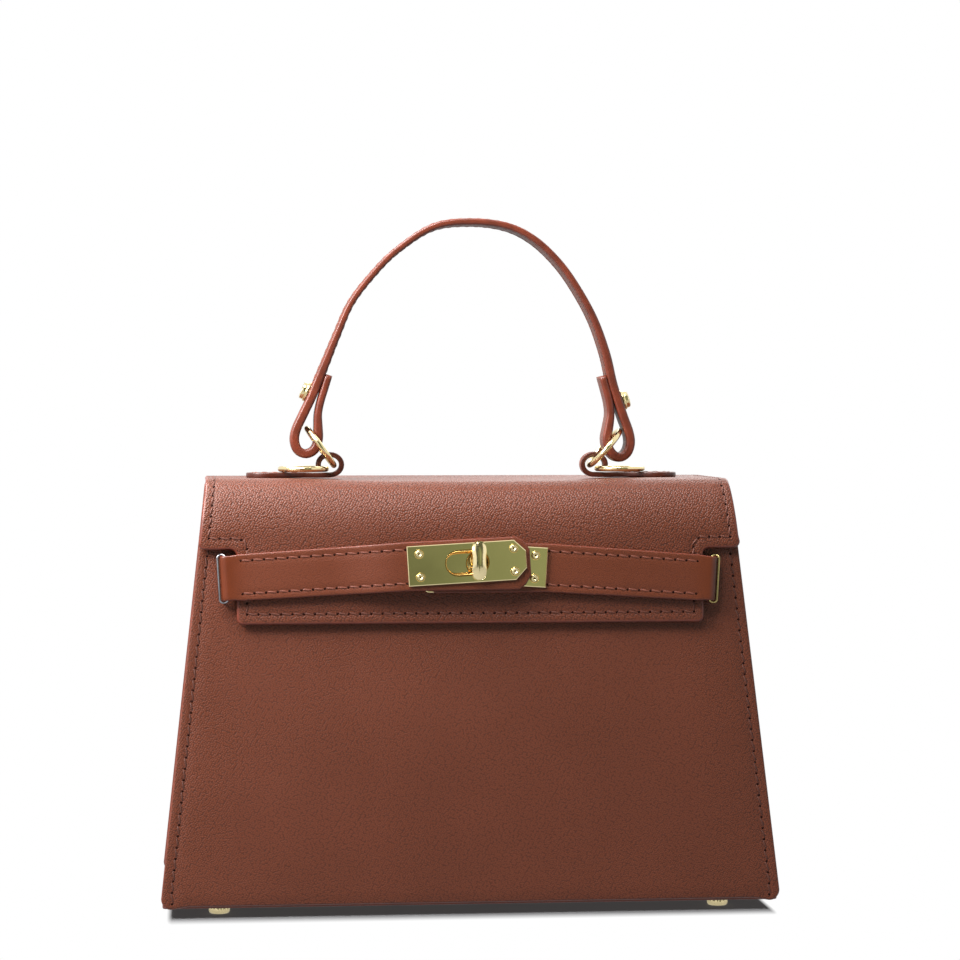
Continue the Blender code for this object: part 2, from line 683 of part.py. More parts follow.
def flap_profile(outside, thickness):
    """Section of a flap layer in y and z: flat top, round front fold, sloping front."""
    deck = BAG_TOP - outside
    radius = FLAP_FOLD_RADIUS - outside
    front = front_matrix()
    foot = front @ Vector((0, FRONT_FOOT - OVERRUN, FLAP_OUTSIDE - outside))
    along = (front.to_3x3() @ Vector((0, 1, 0))).normalized()
    normal = (front.to_3x3() @ Vector((0, 0, 1))).normalized()
    drop = (deck - radius - foot.z + radius * normal.z) / along.z
    bend = foot + along * drop
    centre = bend - normal * radius
    turn = (180 - math.degrees(LEAN), 90)
    outer = arc((centre.y, centre.z), radius, *turn)
    inner = arc((centre.y, centre.z), radius - thickness, *turn)
    inner_foot = foot - normal * thickness
    rear = [(HINGE_Y, deck), (HINGE_Y, deck - thickness)]
    return [(foot.y, foot.z)] + outer + rear + inner[::-1] + [(inner_foot.y, inner_foot.z)]


def flap_outline(inset):
    """Flap seen from the front, x and z: two short ears and a long middle."""
    ear_z = BAG_TOP - EAR_DROP + inset
    ear_x = EAR_HALF_WIDTH - inset
    front_x = FLAP_FRONT_HALF_WIDTH - inset
    right = [(front_x, BAG_TOP - FLAP_FRONT_DROP + inset)]
    notch = (front_x + NOTCH_RADIUS, ear_z - NOTCH_RADIUS)
    right += arc(notch, NOTCH_RADIUS, 180, 90, ARC_STEPS // 2)
    corner = (ear_x - EAR_CORNER_RADIUS, ear_z + EAR_CORNER_RADIUS)
    right += arc(corner, EAR_CORNER_RADIUS, -90, 0, ARC_STEPS // 2)
    right += [(FLAP_TOP_HALF_WIDTH - inset, BAG_TOP + OVERRUN)]
    return right + [(-x, z) for x, z in reversed(right)]


def build_flap_layer(name, outside, thickness, inset, material, pivot):
    """One layer of the flap: its section run across the bag and trimmed to the outline."""
    half = EAR_HALF_WIDTH + OVERRUN
    mesh = outline_mesh(name, flap_profile(outside, thickness), -half, half)
    mesh.transform(Matrix(((0, 0, 1, 0), (1, 0, 0, 0), (0, 1, 0, 0), (0, 0, 0, 1))))
    piece = add_piece(name, mesh, material, parent=pivot)
    reach = BASE_HALF_DEPTH + OVERRUN
    trim = outline_mesh(f"{name}_trim", flap_outline(inset), -reach, reach)
    trim.transform(Matrix.Rotation(math.pi / 2, 4, "X"))
    add_cut(piece, f"{name}_trim", trim, "INTERSECT")
    return piece


def build_flap(pivot):
    flap = build_flap_layer("flap_leather", 0, FLAP_THICKNESS, 0, LEATHER, pivot)
    inner = FLAP_STANDOFF + FLAP_LINING_THICKNESS + CLEARANCE / 2
    socket = outline_mesh("stem_socket", circle((0, 0), STEM_SOCKET_RADIUS), inner, FLAP_OUTSIDE + OVERRUN)
    add_cut(flap, "stem_socket", socket, matrix=lock_matrix())
    for sign in (-1, 1):
        slot = outline_mesh("prong_slot", prong_outline(sign, CLEARANCE), inner, FLAP_OUTSIDE + OVERRUN)
        add_cut(flap, "prong_slot", slot, matrix=lock_matrix())
    inside = FLAP_THICKNESS + CLEARANCE
    build_flap_layer("flap_lining", inside, FLAP_LINING_THICKNESS, LINING_EDGE, LINING, pivot)


def build_hinge_band():
    """Lower edge of the flap's leather, sewn to the back."""
    top = (HINGE_Z - HINGE_RADIUS - CLEARANCE - BASE_BOTTOM) / math.cos(LEAN)
    low = top - HINGE_BAND_HEIGHT
    high = top - CLEARANCE
    sides = [half_width_at(BASE_BOTTOM + height * math.cos(LEAN)) for height in (low, high)]
    outline = [(-sides[0], low), (sides[0], low), (sides[1], high), (-sides[1], high)]
    mesh = outline_mesh("hinge_band", outline, CLEARANCE, CLEARANCE + FLAP_THICKNESS)
    add_piece("hinge_band", mesh, LEATHER, back_matrix())


def prong_outline(sign, margin):
    half_x, half_y = PRONG_HALF_THICKNESS + margin, PRONG_HALF_WIDTH + margin
    middle = sign * PRONG_OFFSET - LOCK_X
    return rectangle((middle - half_x, -half_y), (middle + half_x, half_y))


def build_lock(pivot, knob_pivot):
    half_width = (LOCK_PLATE_ABOVE + LOCK_PLATE_BELOW) / 2
    plate = rounded_rectangle(LOCK_PLATE_HALF_LENGTH, half_width, LOCK_PLATE_CORNER_RADIUS)
    outline = [(x - LOCK_X, y + LOCK_PLATE_ABOVE - half_width) for x, y in plate]
    hole = circle((0, 0), STEM_RADIUS + CLEARANCE, SMALL_ROUND_FACETS)
    mesh = outline_mesh("lock_base_plate", outline, LOCK_PLATE_BACK, LOCK_PLATE_FRONT, [hole])
    base = add_piece("lock_base_plate", mesh, GOLD, lock_matrix(), pivot)
    tip = FLAP_STANDOFF + FLAP_LINING_THICKNESS + 2 * CLEARANCE
    for sign in (-1, 1):
        prong = outline_mesh("prong", prong_outline(sign, 0), tip, (LOCK_PLATE_BACK + LOCK_PLATE_FRONT) / 2)
        add_cut(base, "prong", prong, "UNION")
    build_knob(knob_pivot)
    ring = circle((0, 0), CLIP_RADIUS)
    bore = circle((0, 0), STEM_RADIUS + CLEARANCE)
    clip_top = LOCK_PLATE_BACK - CLEARANCE
    clip = outline_mesh("lock_clip", ring, clip_top - CLIP_THICKNESS, clip_top, [bore])
    add_piece("lock_clip", clip, STEEL, lock_matrix(), knob_pivot)


def build_knob(pivot):
    """Turning knob: a rounded bar on a collar and a stem."""
    bottom = FLAP_STANDOFF + FLAP_LINING_THICKNESS + 2 * CLEARANCE
    collar = LOCK_PLATE_FRONT + CLEARANCE
    middle = KNOB_BACK + KNOB_THICKNESS / 2
    post = turned_mesh("lock_knob", (
        (0, middle), (COLLAR_NECK_RADIUS, middle), (COLLAR_NECK_RADIUS, KNOB_BACK - COLLAR_NECK_LENGTH),
        (COLLAR_RADIUS, KNOB_BACK - 2 * COLLAR_NECK_LENGTH), (COLLAR_RADIUS, collar),
        (STEM_RADIUS, collar), (STEM_RADIUS, bottom), (0, bottom),
    ), SMALL_ROUND_FACETS)
    knob = add_piece("lock_knob", post, GOLD, lock_matrix(), pivot)
    rows = []
    for width_share, height_share in KNOB_BAR_SHARES:
        half_width = KNOB_HALF_WIDTH * width_share
        half_length = KNOB_HALF_LENGTH - KNOB_HALF_WIDTH + half_width
        outline = rounded_rectangle(half_width, half_length, half_width * KNOB_CORNER_SHARE)
        z = KNOB_BACK + KNOB_THICKNESS * height_share
        rows.append([(x, y, z) for x, y in outline])
    add_cut(knob, "knob_bar", loft_mesh("knob_bar", rows), "UNION")


def strap_profile(layers):
    """Strap seen from below in its own frame: a wrap round the wire, then the run to the tip."""
    start = PLATE_START_LEFT if layers else PLATE_START_RIGHT
    tip = start + PLATE_LENGTH + STRAP_TIP_LIP + OVERRUN
    flat = start - STRAP_TIP_LIP
    back = [(flat - STRAP_RISE_LENGTH, STRAP_BORE), (tip, STRAP_BORE)]
    if layers:
        runs = spaced(flat - STRAP_RISE_LENGTH, flat, ARC_STEPS)
        rises = [layers * STRAP_LAYER * ease(i / ARC_STEPS) for i in range(ARC_STEPS + 1)]
        back = [(x, STRAP_BORE + rise) for x, rise in zip(runs, rises)]
        back.append((tip, STRAP_BORE + rises[-1]))
    front = [(x, z + STRAP_THICKNESS) for x, z in reversed(back)]
    inner = arc((0, 0), STRAP_BORE, 270, 90, ROUND_FACETS // 2)
    outer = arc((0, 0), STRAP_WRAP, 90, 270, ROUND_FACETS // 2)
    return front + outer + [(STRAP_TAIL, -STRAP_WRAP), (STRAP_TAIL, -STRAP_BORE)] + inner + back


def plate_outline(start, margin=0.0):
    end = start + PLATE_LENGTH + margin
    half = PLATE_HALF_WIDTH + margin
    cut = PLATE_CHAMFER
    return [
        (start - margin, -half), (end - cut, -half), (end, -half + cut),
        (end, half - cut), (end - cut, half), (start - margin, half),
    ]


def strap_outline(start):
    tip = start + PLATE_LENGTH + STRAP_TIP_LIP
    cut = STRAP_CHAMFER
    wide = STRAP_WRAP + STRAP_WIDENS_OVER
    lower = [
        (-STRAP_WRAP - OVERRUN, -STRAP_WRAP_HALF_WIDTH), (STRAP_WRAP, -STRAP_WRAP_HALF_WIDTH),
        (wide, -STRAP_HALF_WIDTH), (tip - cut, -STRAP_TIP_HALF_WIDTH), (tip, -STRAP_TIP_HALF_WIDTH + cut),
    ]
    return lower + [(x, -y) for x, y in reversed(lower)]


def rivet_places(start):
    middle = start + PLATE_LENGTH / 2
    return [(middle + x * RIVET_ALONG, y * RIVET_ACROSS) for x in (-1, 1) for y in (-1, 1)]


def build_strap(name, side, layers, pivot):
    start = PLATE_START_LEFT if layers else PLATE_START_RIGHT
    matrix = strap_matrix(side)
    rise = layers * STRAP_LAYER
    half = STRAP_TIP_HALF_WIDTH + OVERRUN
    mesh = outline_mesh(name, strap_profile(layers), -half, half)
    mesh.transform(Matrix.Rotation(math.pi / 2, 4, "X"))
    leather = add_piece(f"strap_{name}", mesh, LEATHER, matrix, pivot)
    slot = slot_outline((start + PLATE_LENGTH / 2, 0), SLOT_LENGTH / 2, SLOT_HALF_WIDTH)
    places = rivet_places(start)
    shanks = [circle(place, RIVET_SHANK_RADIUS + CLEARANCE, WIRE_FACETS) for place in places]
    trim = outline_mesh(f"strap_{name}_trim", strap_outline(start), -STRAP_WRAP - OVERRUN,
                        STRAP_WRAP + rise + OVERRUN, [slot] + shanks)
    add_cut(leather, f"strap_{name}_trim", trim, "INTERSECT")
    heads = [circle(place, RIVET_HEAD_RADIUS + CLEARANCE) for place in places]
    low = PLATE_BACK + rise
    top = low + PLATE_THICKNESS
    plate = outline_mesh(f"strap_plate_{name}", plate_outline(start), low, top, [slot] + heads)
    add_piece(f"strap_plate_{name}", plate, GOLD, matrix, pivot)
    build_rivets(name, places, low, matrix, pivot)


def build_rivets(name, places, low, matrix, pivot):
    top = low + PLATE_THICKNESS
    rivet = turned_mesh(f"rivet_{name}", (
        (0, top - RIVET_DIMPLE_DEPTH), (RIVET_DIMPLE_RADIUS, top - RIVET_DIMPLE_DEPTH),
        (RIVET_DIMPLE_RADIUS, top), (RIVET_HEAD_RADIUS, top), (RIVET_HEAD_RADIUS, low),
        (RIVET_SHANK_RADIUS, low), (RIVET_SHANK_RADIUS, low - STRAP_THICKNESS - CLEARANCE),
        (0, low - STRAP_THICKNESS - CLEARANCE),
    ), SMALL_ROUND_FACETS)
    for i, (x, y) in enumerate(places):
        place = matrix @ Matrix.Translation((x, y, 0))
        smooth(add_piece(f"strap_rivet_{name}_{i + 1}", rivet, GOLD, place, pivot))


def tab_line():
    """Middle of the left tab's leather, from its outer end round its eye."""
    half_x = (TAB_EYE_LENGTH + TAB_LOOP_THICKNESS) / 2
    half_z = (TAB_EYE_HEIGHT + TAB_LOOP_THICKNESS) / 2
    eye_x = -TAB_LOOP_X - half_x - TAB_LOOP_THICKNESS / 2
    strip_z = TAB_TOP - TAB_THICKNESS / 2
    bottom = TAB_TOP - TAB_LOOP_THICKNESS / 2
    neck = eye_x - half_x - TAB_THICKNESS
    line = [(-TAB_OUTER_X, strip_z), (-(TAB_OUTER_X + TAB_NECK_X) / 2, strip_z), (neck, strip_z)]
    steps = 2 * ARC_STEPS
    for i in range(steps + 1):
        angle = math.radians(-90 + TAB_CURL_DEGREES * i / steps)
        line.append((eye_x + half_x * math.cos(angle), bottom + half_z + half_z * math.sin(angle)))
    return [Vector((x, 0, z)) for x, z in line]


def tab_half_width(x):
    """Half width of the tab at a distance from the middle of the bag."""
    if x >= TAB_OUTER_X - TAB_HALF_WIDTH:
        inside = x - (TAB_OUTER_X - TAB_HALF_WIDTH)
        return max(TAB_LOOP_HALF_WIDTH, math.sqrt(max(TAB_HALF_WIDTH ** 2 - inside ** 2, 0)))
    share = min(max((x - TAB_NECK_X) / (TAB_OUTER_X - TAB_HALF_WIDTH - TAB_NECK_X), 0), 1)
    return TAB_LOOP_HALF_WIDTH + share * (TAB_HALF_WIDTH - TAB_LOOP_HALF_WIDTH)


def build_tab(name, side, pivot):
    corner = tab_line()
    outer = [Vector((-TAB_OUTER_X + TAB_HALF_WIDTH * (1 - math.cos(math.radians(a))), 0, corner[0].z))
             for a in spaced(0, 90, ARC_STEPS // 2)]
    neck = Vector((-TAB_NECK_X, 0, corner[0].z))
    line = outer + [neck] + corner[2:]
    widths = [tab_half_width(-point.x) for point in line]
    strip = len(outer) + 2
    thicknesses = [TAB_THICKNESS] * strip + [TAB_LOOP_THICKNESS] * (len(line) - strip)
    mesh = band_mesh(name, line, widths, thicknesses)
    if side > 0:
        mesh.transform(Matrix.Diagonal((-1, 1, 1, 1)))
        mesh.flip_normals()
    add_piece(name, mesh, LEATHER, parent=pivot)


def ring_mesh(name):
    bpy.ops.mesh.primitive_torus_add(
        major_segments=RING_FACETS, minor_segments=WIRE_FACETS,
        major_radius=RING_RADIUS, minor_radius=RING_WIRE_RADIUS,
    )
    holder = bpy.context.active_object
    mesh = holder.data
    bpy.data.objects.remove(holder)
    mesh.name = name
    return mesh


def shoulder_ring_matrix(side):
    """Ring lying flat, its inner end in the tab's eye."""
    wire = EYE_X + TAB_EYE_LENGTH / 2 - RING_WIRE_RADIUS - SHOULDER_RING_PLAY
    return Matrix.Translation((side * (wire + RING_RADIUS), 0, SHOULDER_RING_Z))


def handle_ring_matrix(side):
    """Ring that leans outwards, its lower end in the tab's eye."""
    tilt = RING_TILT_LEFT if side < 0 else RING_TILT_RIGHT
    wire_x = EYE_X - TAB_EYE_LENGTH / 2 + RING_WIRE_RADIUS + HANDLE_RING_PLAY
    wire_z = EYE_Z - CLEARANCE
    x = wire_x + RING_RADIUS * math.sin(tilt)
    centre = Vector((side * x, 0, wire_z + RING_RADIUS * math.cos(tilt)))
    return Matrix.Translation(centre) @ Matrix.Rotation(side * (tilt - math.pi / 2), 4, "Y")


def build_rings(handle_pivot, ring_pivots):
    for side, label in ((-1, "left"), (1, "right")):
        smooth(add_piece(f"shoulder_ring_{label}", ring_mesh("shoulder_ring"), GOLD,
                         shoulder_ring_matrix(side), ring_pivots[side]))
        smooth(add_piece(f"handle_ring_{label}", ring_mesh("handle_ring"), GOLD,
                         handle_ring_matrix(side), handle_pivot))


def handle_points():
    """Handle's centreline from the left strap end to the right one."""
    ends = []
    for side, shares in ((-1, LEFT_LOOP_SHARES), (1, RIGHT_LOOP_SHARES)):
        wire = handle_ring_matrix(side) @ Vector((side * RING_RADIUS, 0, 0))
        ends.append([
            wire + HANDLE_LOOP_LENGTH * Vector((-side * inwards, 0, up)) for inwards, up in shares
        ])
    low, rise = BAG_TOP + ARCH_START_RISE, HANDLE_RISE - ARCH_START_RISE
    arch = [Vector((x * HANDLE_HALF_SPAN, 0, low + z * rise)) for x, z in ARCH_SHARES]
    return ends[0] + arch + ends[1][::-1]


def ease(share):
    share = min(max(share, 0), 1)
    return share * share * (3 - 2 * share)


def build_handle(pivot):
    steps = HANDLE_STEPS
    line = smooth_line(handle_points(), steps)
    last = len(line) - 1
    widths, thicknesses = [], []
    for i in range(len(line)):
        station = min(i, last - i) / steps
        grown = ease((station - HANDLE_WIDENS_FROM) / HANDLE_WIDENS_OVER)
        widths.append(HANDLE_END_HALF_WIDTH + grown * (HANDLE_HALF_WIDTH - HANDLE_END_HALF_WIDTH))
        thickened = ease((station - HANDLE_THICKENS_FROM) / HANDLE_THICKENS_OVER)
        end = HANDLE_TAIL_THICKNESS + thickened * (HANDLE_END_THICKNESS - HANDLE_TAIL_THICKNESS)
        thicknesses.append(end + grown * (HANDLE_THICKNESS - end))
    band = band_mesh("handle_strap", line, widths, thicknesses)
    handle = add_piece("handle_strap", band, LEATHER, parent=pivot)
    left_station, right_station = HANDLE_STUD_STATIONS
    for side, station, label in ((-1, left_station, "left"), (1, right_station, "right")):
        index = station * steps
        run = line[index + 1] - line[index]
        place = (line[index] + line[index + 1]) / 2
        reach = HANDLE_TAIL_STATIONS * steps
        tail = line[:reach] if side < 0 else line[last - reach:]
        normal = Vector((-run.z, 0, run.x)).normalized()
        add_stud(handle, label, place, normal, tail, thicknesses[index], pivot)


def add_stud(handle, label, place, normal, tail, thickness, pivot):
    """Screw stud through both layers of the handle's end, its nut sunk into the inner layer."""
    outward = normal if normal.x * place.x > 0 else -normal
    frame = Matrix.Translation(place) @ outward.to_track_quat("Z", "Y").to_matrix().to_4x4()
    head = thickness / 2 + CLEARANCE
    away = [place - point for point in tail]
    nut_end = HANDLE_TAIL_THICKNESS / 2 + min(
        span.dot(outward) for span in away if abs(span.cross(outward).y) < STUD_NUT_RADIUS
    )
    stud = turned_mesh(f"handle_stud_{label}", (
        (0, head + STUD_HEIGHT), (STUD_TOP_RADIUS, head + STUD_HEIGHT),
        (STUD_TOP_RADIUS, head + STUD_STEP), (STUD_RADIUS, head + STUD_STEP), (STUD_RADIUS, head),
        (STUD_SHANK_RADIUS, head), (STUD_SHANK_RADIUS, -nut_end), (0, -nut_end),
    ), SMALL_ROUND_FACETS)
    smooth(add_piece(f"handle_stud_{label}", stud, GOLD, frame, pivot))
    bore = STUD_SHANK_RADIUS + CLEARANCE
    nut_start = nut_end - STUD_NUT_HEIGHT
    nut = outline_mesh(
        f"handle_nut_{label}", circle((0, 0), STUD_NUT_RADIUS), -nut_end, -nut_start, [circle((0, 0), bore)]
    )
    smooth(add_piece(f"handle_nut_{label}", nut, GOLD, frame, pivot))
    hole = outline_mesh("stud_hole", circle((0, 0), bore), -nut_end - OVERRUN, head + OVERRUN)
    add_cut(handle, f"stud_hole_{label}", hole, matrix=frame)
    recess = circle((0, 0), STUD_NUT_RADIUS + CLEARANCE)
    sunk = outline_mesh("nut_recess", recess, -nut_end - OVERRUN, -nut_start + CLEARANCE)
    add_cut(handle, f"nut_recess_{label}", sunk, matrix=frame)


def build_bag():
    build_walls()
    build_base()
    build_feet()
    build_gussets()
    build_lining()
    build_pocket()
    build_hinge_band()
    for side, label in ((-1, "left"), (1, "right")):
        build_strap_loop(f"strap_loop_{label}", side)
        build_loop_plate(f"loop_back_plate_{label}", side)
    flap_pivot = add_pivot("flap_pivot", Matrix.Translation((0, HINGE_Y, HINGE_Z)))
    build_flap(flap_pivot)
    knob_pivot = add_pivot("knob_pivot", lock_matrix(), flap_pivot)
    build_lock(flap_pivot, knob_pivot)
    build_strap("left", -1, 1, add_pivot("strap_left_pivot", strap_matrix(-1)))
    build_strap("right", 1, 0, add_pivot("strap_right_pivot", strap_matrix(1)))
    handle_pivot = add_pivot("handle_pivot", Matrix.Translation((0, 0, EYE_Z)), flap_pivot)
    ring_pivots = {
        side: add_pivot(f"ring_pivot_{label}", Matrix.Translation((side * EYE_X, 0, EYE_Z)), flap_pivot)
        for side, label in ((-1, "left"), (1, "right"))
    }
    build_tab("tab_left", -1, flap_pivot)
    build_tab("tab_right", 1, flap_pivot)
    build_rings(handle_pivot, ring_pivots)
    build_handle(handle_pivot)


clear_scene()
PARTS = make_collection(BAG_NAME)
CUTTERS = make_collection("cutters")
LEATHER = make_material("leather", (0.16, 0.045, 0.028), 0.5)
LINING = make_material("lining", (0.28, 0.20, 0.14), 0.8)
BOARD = make_material("board", (0.30, 0.24, 0.17), 0.9)
GOLD = make_material("gold", (0.83, 0.62, 0.28), 0.2, 1.0)
STEEL = make_material("steel", (0.55, 0.55, 0.52), 0.35, 1.0)
build_bag()
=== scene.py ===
"""Finish of a small structured handbag: leather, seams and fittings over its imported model."""
import math

import bmesh
import bpy
import numpy as np
from bpy.props import FloatProperty, FloatVectorProperty, PointerProperty
from mathutils import Matrix, Vector, noise
from mathutils.geometry import delaunay_2d_cdt, interpolate_bezier


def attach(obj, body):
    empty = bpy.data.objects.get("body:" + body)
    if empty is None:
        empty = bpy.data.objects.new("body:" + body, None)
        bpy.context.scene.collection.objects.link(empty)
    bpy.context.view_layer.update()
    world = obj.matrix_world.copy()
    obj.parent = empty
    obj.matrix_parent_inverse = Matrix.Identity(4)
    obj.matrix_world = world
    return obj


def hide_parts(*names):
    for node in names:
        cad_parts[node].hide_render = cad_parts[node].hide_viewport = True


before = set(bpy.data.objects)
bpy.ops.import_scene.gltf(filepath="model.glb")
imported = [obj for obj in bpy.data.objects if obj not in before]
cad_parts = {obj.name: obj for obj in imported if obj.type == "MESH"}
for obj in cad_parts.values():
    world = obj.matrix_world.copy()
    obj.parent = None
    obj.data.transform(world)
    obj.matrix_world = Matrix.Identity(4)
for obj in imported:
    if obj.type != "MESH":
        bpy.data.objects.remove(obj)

bl_info = {
    "name": "Leather Bag Finish",
    "version": (1, 0, 0),
    "blender": (4, 5, 0),
    "location": "3D View > Sidebar > Leather Bag",
    "description": "Builds the leather, seams and fittings of a small structured handbag",
    "category": "Object",
}

# Sizes of the bag's body, in metres
CLEARANCE = 0.0003
BASE_HALF_WIDTH = 0.1400
SIDE_TAPER = 0.0191
BASE_HALF_DEPTH = 0.0560
DEPTH_TAPER = 0.0143
BAG_TOP = 0.1960
WALL_TOP = 0.1835
BASE_BOTTOM = 0.0042
BASE_TOP = 0.0066
BOARD_BOTTOM = 0.0069
LINING_BOTTOM = 0.0107
LINING_TOP = 0.1805
PANEL_THICKNESS = 0.0024
PANEL_CORNER_RADIUS = 0.0050
PANEL_ROUNDING = 0.0008
WALL_LIFT = 0.0014
WALL_SKIVED = 0.0017
WALL_SKIVED_OVER = 0.0150
CROWN_HEIGHT = 0.0016
CROWN_REACH = 0.132
CROWN_WAVE_HEIGHT = 0.00030
CROWN_WAVE_SCALE = 22
SEAM_INSET = 0.0040
SEAM_FOOT_INSET = 0.0046
SEAM_FOOT = 0.0028
SEAM_HEAD_DROP = 0.002
FLANGE_SEAM_INSET = 0.0026
GUSSET_THICKNESS = 0.0016
SEAM_FLANGE = 0.0037
GUSSET_FOLD_BASE = 0.0010
GUSSET_FOLD_MOUTH = 0.0110
FOLD_SHOULDER_SHARE = 0.25
LINING_THICKNESS = 0.0008
LINING_STANDOFF = 0.0013
LINING_CORNER = 0.004
RUMPLE_HEIGHT = 0.0007
POCKET_HALF_WIDTH = 0.0700
POCKET_TOP_DROP = 0.0350
POCKET_DEPTH = 0.0950
POCKET_THICKNESS = 0.0010
POCKET_CORNER_RADIUS = 0.006
POCKET_HEM = 0.010
HINGE_BAND_HEIGHT = 0.0200
BASE_CORNER_RADIUS = 0.0020
FOOT_X = 0.114
FOOT_Y = 0.040
FOOT_HEIGHT = 0.0039
FOOT_RADIUS = 0.0048

# Points of a sheet: their spacing on its edge and along its lines, and how close they may come
EDGE_SPACING = 0.0020
LINE_SPACING = 0.0013
LINE_SHIFT = 0.0009
LINE_CLEARANCE = 0.0006
GRID_CLEARANCE_SHARE = 0.55

# Stitches; slants are in degrees
WALL_SLANT = 14
FLANGE_SLANT = 12
FLAP_SLANT = -12
BAND_SLANT = 12
STRAP_SLANT = 8
TAB_SLANT = 10
HANDLE_SLANT = 8
HANDLE_PITCH_SHARE = 0.85
HOLE_RADIUS = 0.00061
HOLE_CORNERS = 10
HOLE_RIM = 0.00002
HOLE_LID = 0.00008
HOLE_FLOOR = -0.0003
THREAD_RADIUS = 0.00048
THREAD_LIFT = 0.00030
THREAD_SUNK = 0.00022
THREAD_CORNERS = 8
THREAD_SHARE = 0.86
GROOVE_DEPTH = 0.00028
GROOVE_WIDTH = 0.0008

# Flap
FLAP_THICKNESS = 0.0022
FLAP_LINING_THICKNESS = 0.0008
FLAP_STANDOFF = 0.0004
FLAP_OUTSIDE = FLAP_STANDOFF + FLAP_THICKNESS + CLEARANCE + FLAP_LINING_THICKNESS
FLAP_FOLD_DEPTH = 0.0140
FLAP_FOLD_DROP = 0.0260
FOLD_STEPS = 48
DISH_DEPTH = 0.0015
DISH_REACH = 0.066
FLAP_ROUNDING = 0.00105
FLAP_CORNER_RADIUS = 0.0027
FLAP_SEAM_INSET = 0.0046
FLAP_SEAM_CORNER = 0.0045
EAR_SEAM_INSET = 0.0050
FLAP_FRONT_DROP = 0.0650
EAR_DROP = 0.0315
EAR_WIDTH = 0.0171
EAR_CORNER_RADIUS = 0.0030
NOTCH_RADIUS = 0.0030
FLAP_SIDE_REACH = 0.0002
LINING_EDGE = 0.0012
HINGE_RADIUS = 0.00165
HINGE_Y = 0.042235
HINGE_Z = 0.19435

# Lock
LOCK_X = 0.0024
LOCK_HEIGHT = 0.1549
LOCK_PLATE_BACK = FLAP_OUTSIDE + CLEARANCE
LOCK_PLATE_THICKNESS = 0.0009
LOCK_PLATE_FRONT = LOCK_PLATE_BACK + LOCK_PLATE_THICKNESS
LOCK_PLATE_HALF_LENGTH = 0.0216
LOCK_PLATE_ABOVE = 0.0075
LOCK_PLATE_BELOW = 0.0140
LOCK_PLATE_CORNER_RADIUS = 0.0020
LOCK_PLATE_ROUNDING = 0.0003
LOCK_HOLE_RADIUS = 0.0046
STEM_HOLE_RADIUS = 0.0022
KNOB_BACK = 0.0124
KNOB_THICKNESS = 0.0032
KNOB_HALF_LENGTH = 0.0087
KNOB_HALF_WIDTH = 0.0034
BAR_ROWS = 20
BAR_CLOSING_ROWS = 6
BAR_CORNERS = 96
BAR_BACK_SHRINK = 0.30
BAR_FRONT_SHRINK = 0.42
BAR_SIDE_POWER = 0.62
BAR_END_POWER = 0.55
BAR_ARCH_ALONG = 0.046
BAR_ARCH_ACROSS = 0.014
BAR_WAIST = 0.10
BAR_WAIST_REACH = 0.0030
POST_REACH = 0.0036
POST_FAR_REACH = 0.0040

# Closing straps
STRAP_THICKNESS = 0.0020
STRAP_WRAP_THICKNESS = 0.0014
STRAP_WIDENS_OVER = 0.0040
STRAP_HALF_WIDTH = 0.0104
STRAP_TIP_HALF_WIDTH = 0.0110
STRAP_TIP_LIP = 0.0019
STRAP_CHAMFER = 0.0060
STRAP_RISE_LENGTH = 0.0316
STRAP_TAIL = 0.0020
STRAP_BELOW_EAR = {-1: 0.0131, 1: 0.0142}
STRAP_ROOT_INSETS = {-1: 0.0138, 1: 0.0153}
STRAP_CLIMBS = {-1: 0.0066, 1: 0.0072}
STRAP_TIP_REACHES = {-1: (0.0135, 0.0105), 1: (0.0146, 0.0086)}
STRAP_DRAWN_OVER = 0.0130
STRAP_SEAM_START = 0.0068
STRAP_SEAM_INSETS = (0.0030, 0.0028)
STRAP_WARMTH = {-1: 0.95, 1: 0.35}
PLATE_THICKNESS = 0.0010
PLATE_HALF_WIDTH = 0.0090
PLATE_LENGTH = 0.0537
PLATE_CHAMFER = 0.0052
PLATE_ROUNDING = 0.00034
PLATE_BEFORE_LOCK = {-1: 0.0321, 1: 0.0313}
SLOT_LENGTH = 0.0195
SLOT_HALF_WIDTH = 0.00565
# Orange of the slot's inner wall: the plate's gold with a painted reflection of the strap leather it faces
SLOT_REFLECTION_COLOUR = (0.93, 0.58, 0.18)
SLOT_RIM = ((0.0002, 0.00012), (0.0006, -0.0001), (0.0014, -0.0013), (0.0014, -0.0028), (0.0001, -0.0028))
RIVET_ALONG = 0.0214
RIVET_ACROSS = 0.0052
RIVET_SEAT_RADIUS = 0.00178
RIVET_DIMPLE_RADIUS = 0.00062
LOOP_WIRE_RADIUS = 0.00075
WRAP_HALF_WIDTH = 0.0100
WIRE_RADIUS = 0.00055
WIRE_CORNER_RADIUS = 0.0012
WIRE_SET_BACK = 0.0016
WIRE_LEG = 0.0033
WIRE_FACETS = 14
# Wire colours are darkened with painted shade, the shade under the flap's ears where the wires sit
WIRE_SHADED_COLOURS = {-1: (0.36, 0.36, 0.39), 1: (0.36, 0.29, 0.12)}
STRAP_BORE = LOOP_WIRE_RADIUS + CLEARANCE
STRAP_WRAP = STRAP_BORE + STRAP_WRAP_THICKNESS
STRAP_LAYER = STRAP_THICKNESS + PLATE_THICKNESS + 2 * CLEARANCE
LOOP_OUT = LOCK_PLATE_FRONT + CLEARANCE - STRAP_BORE

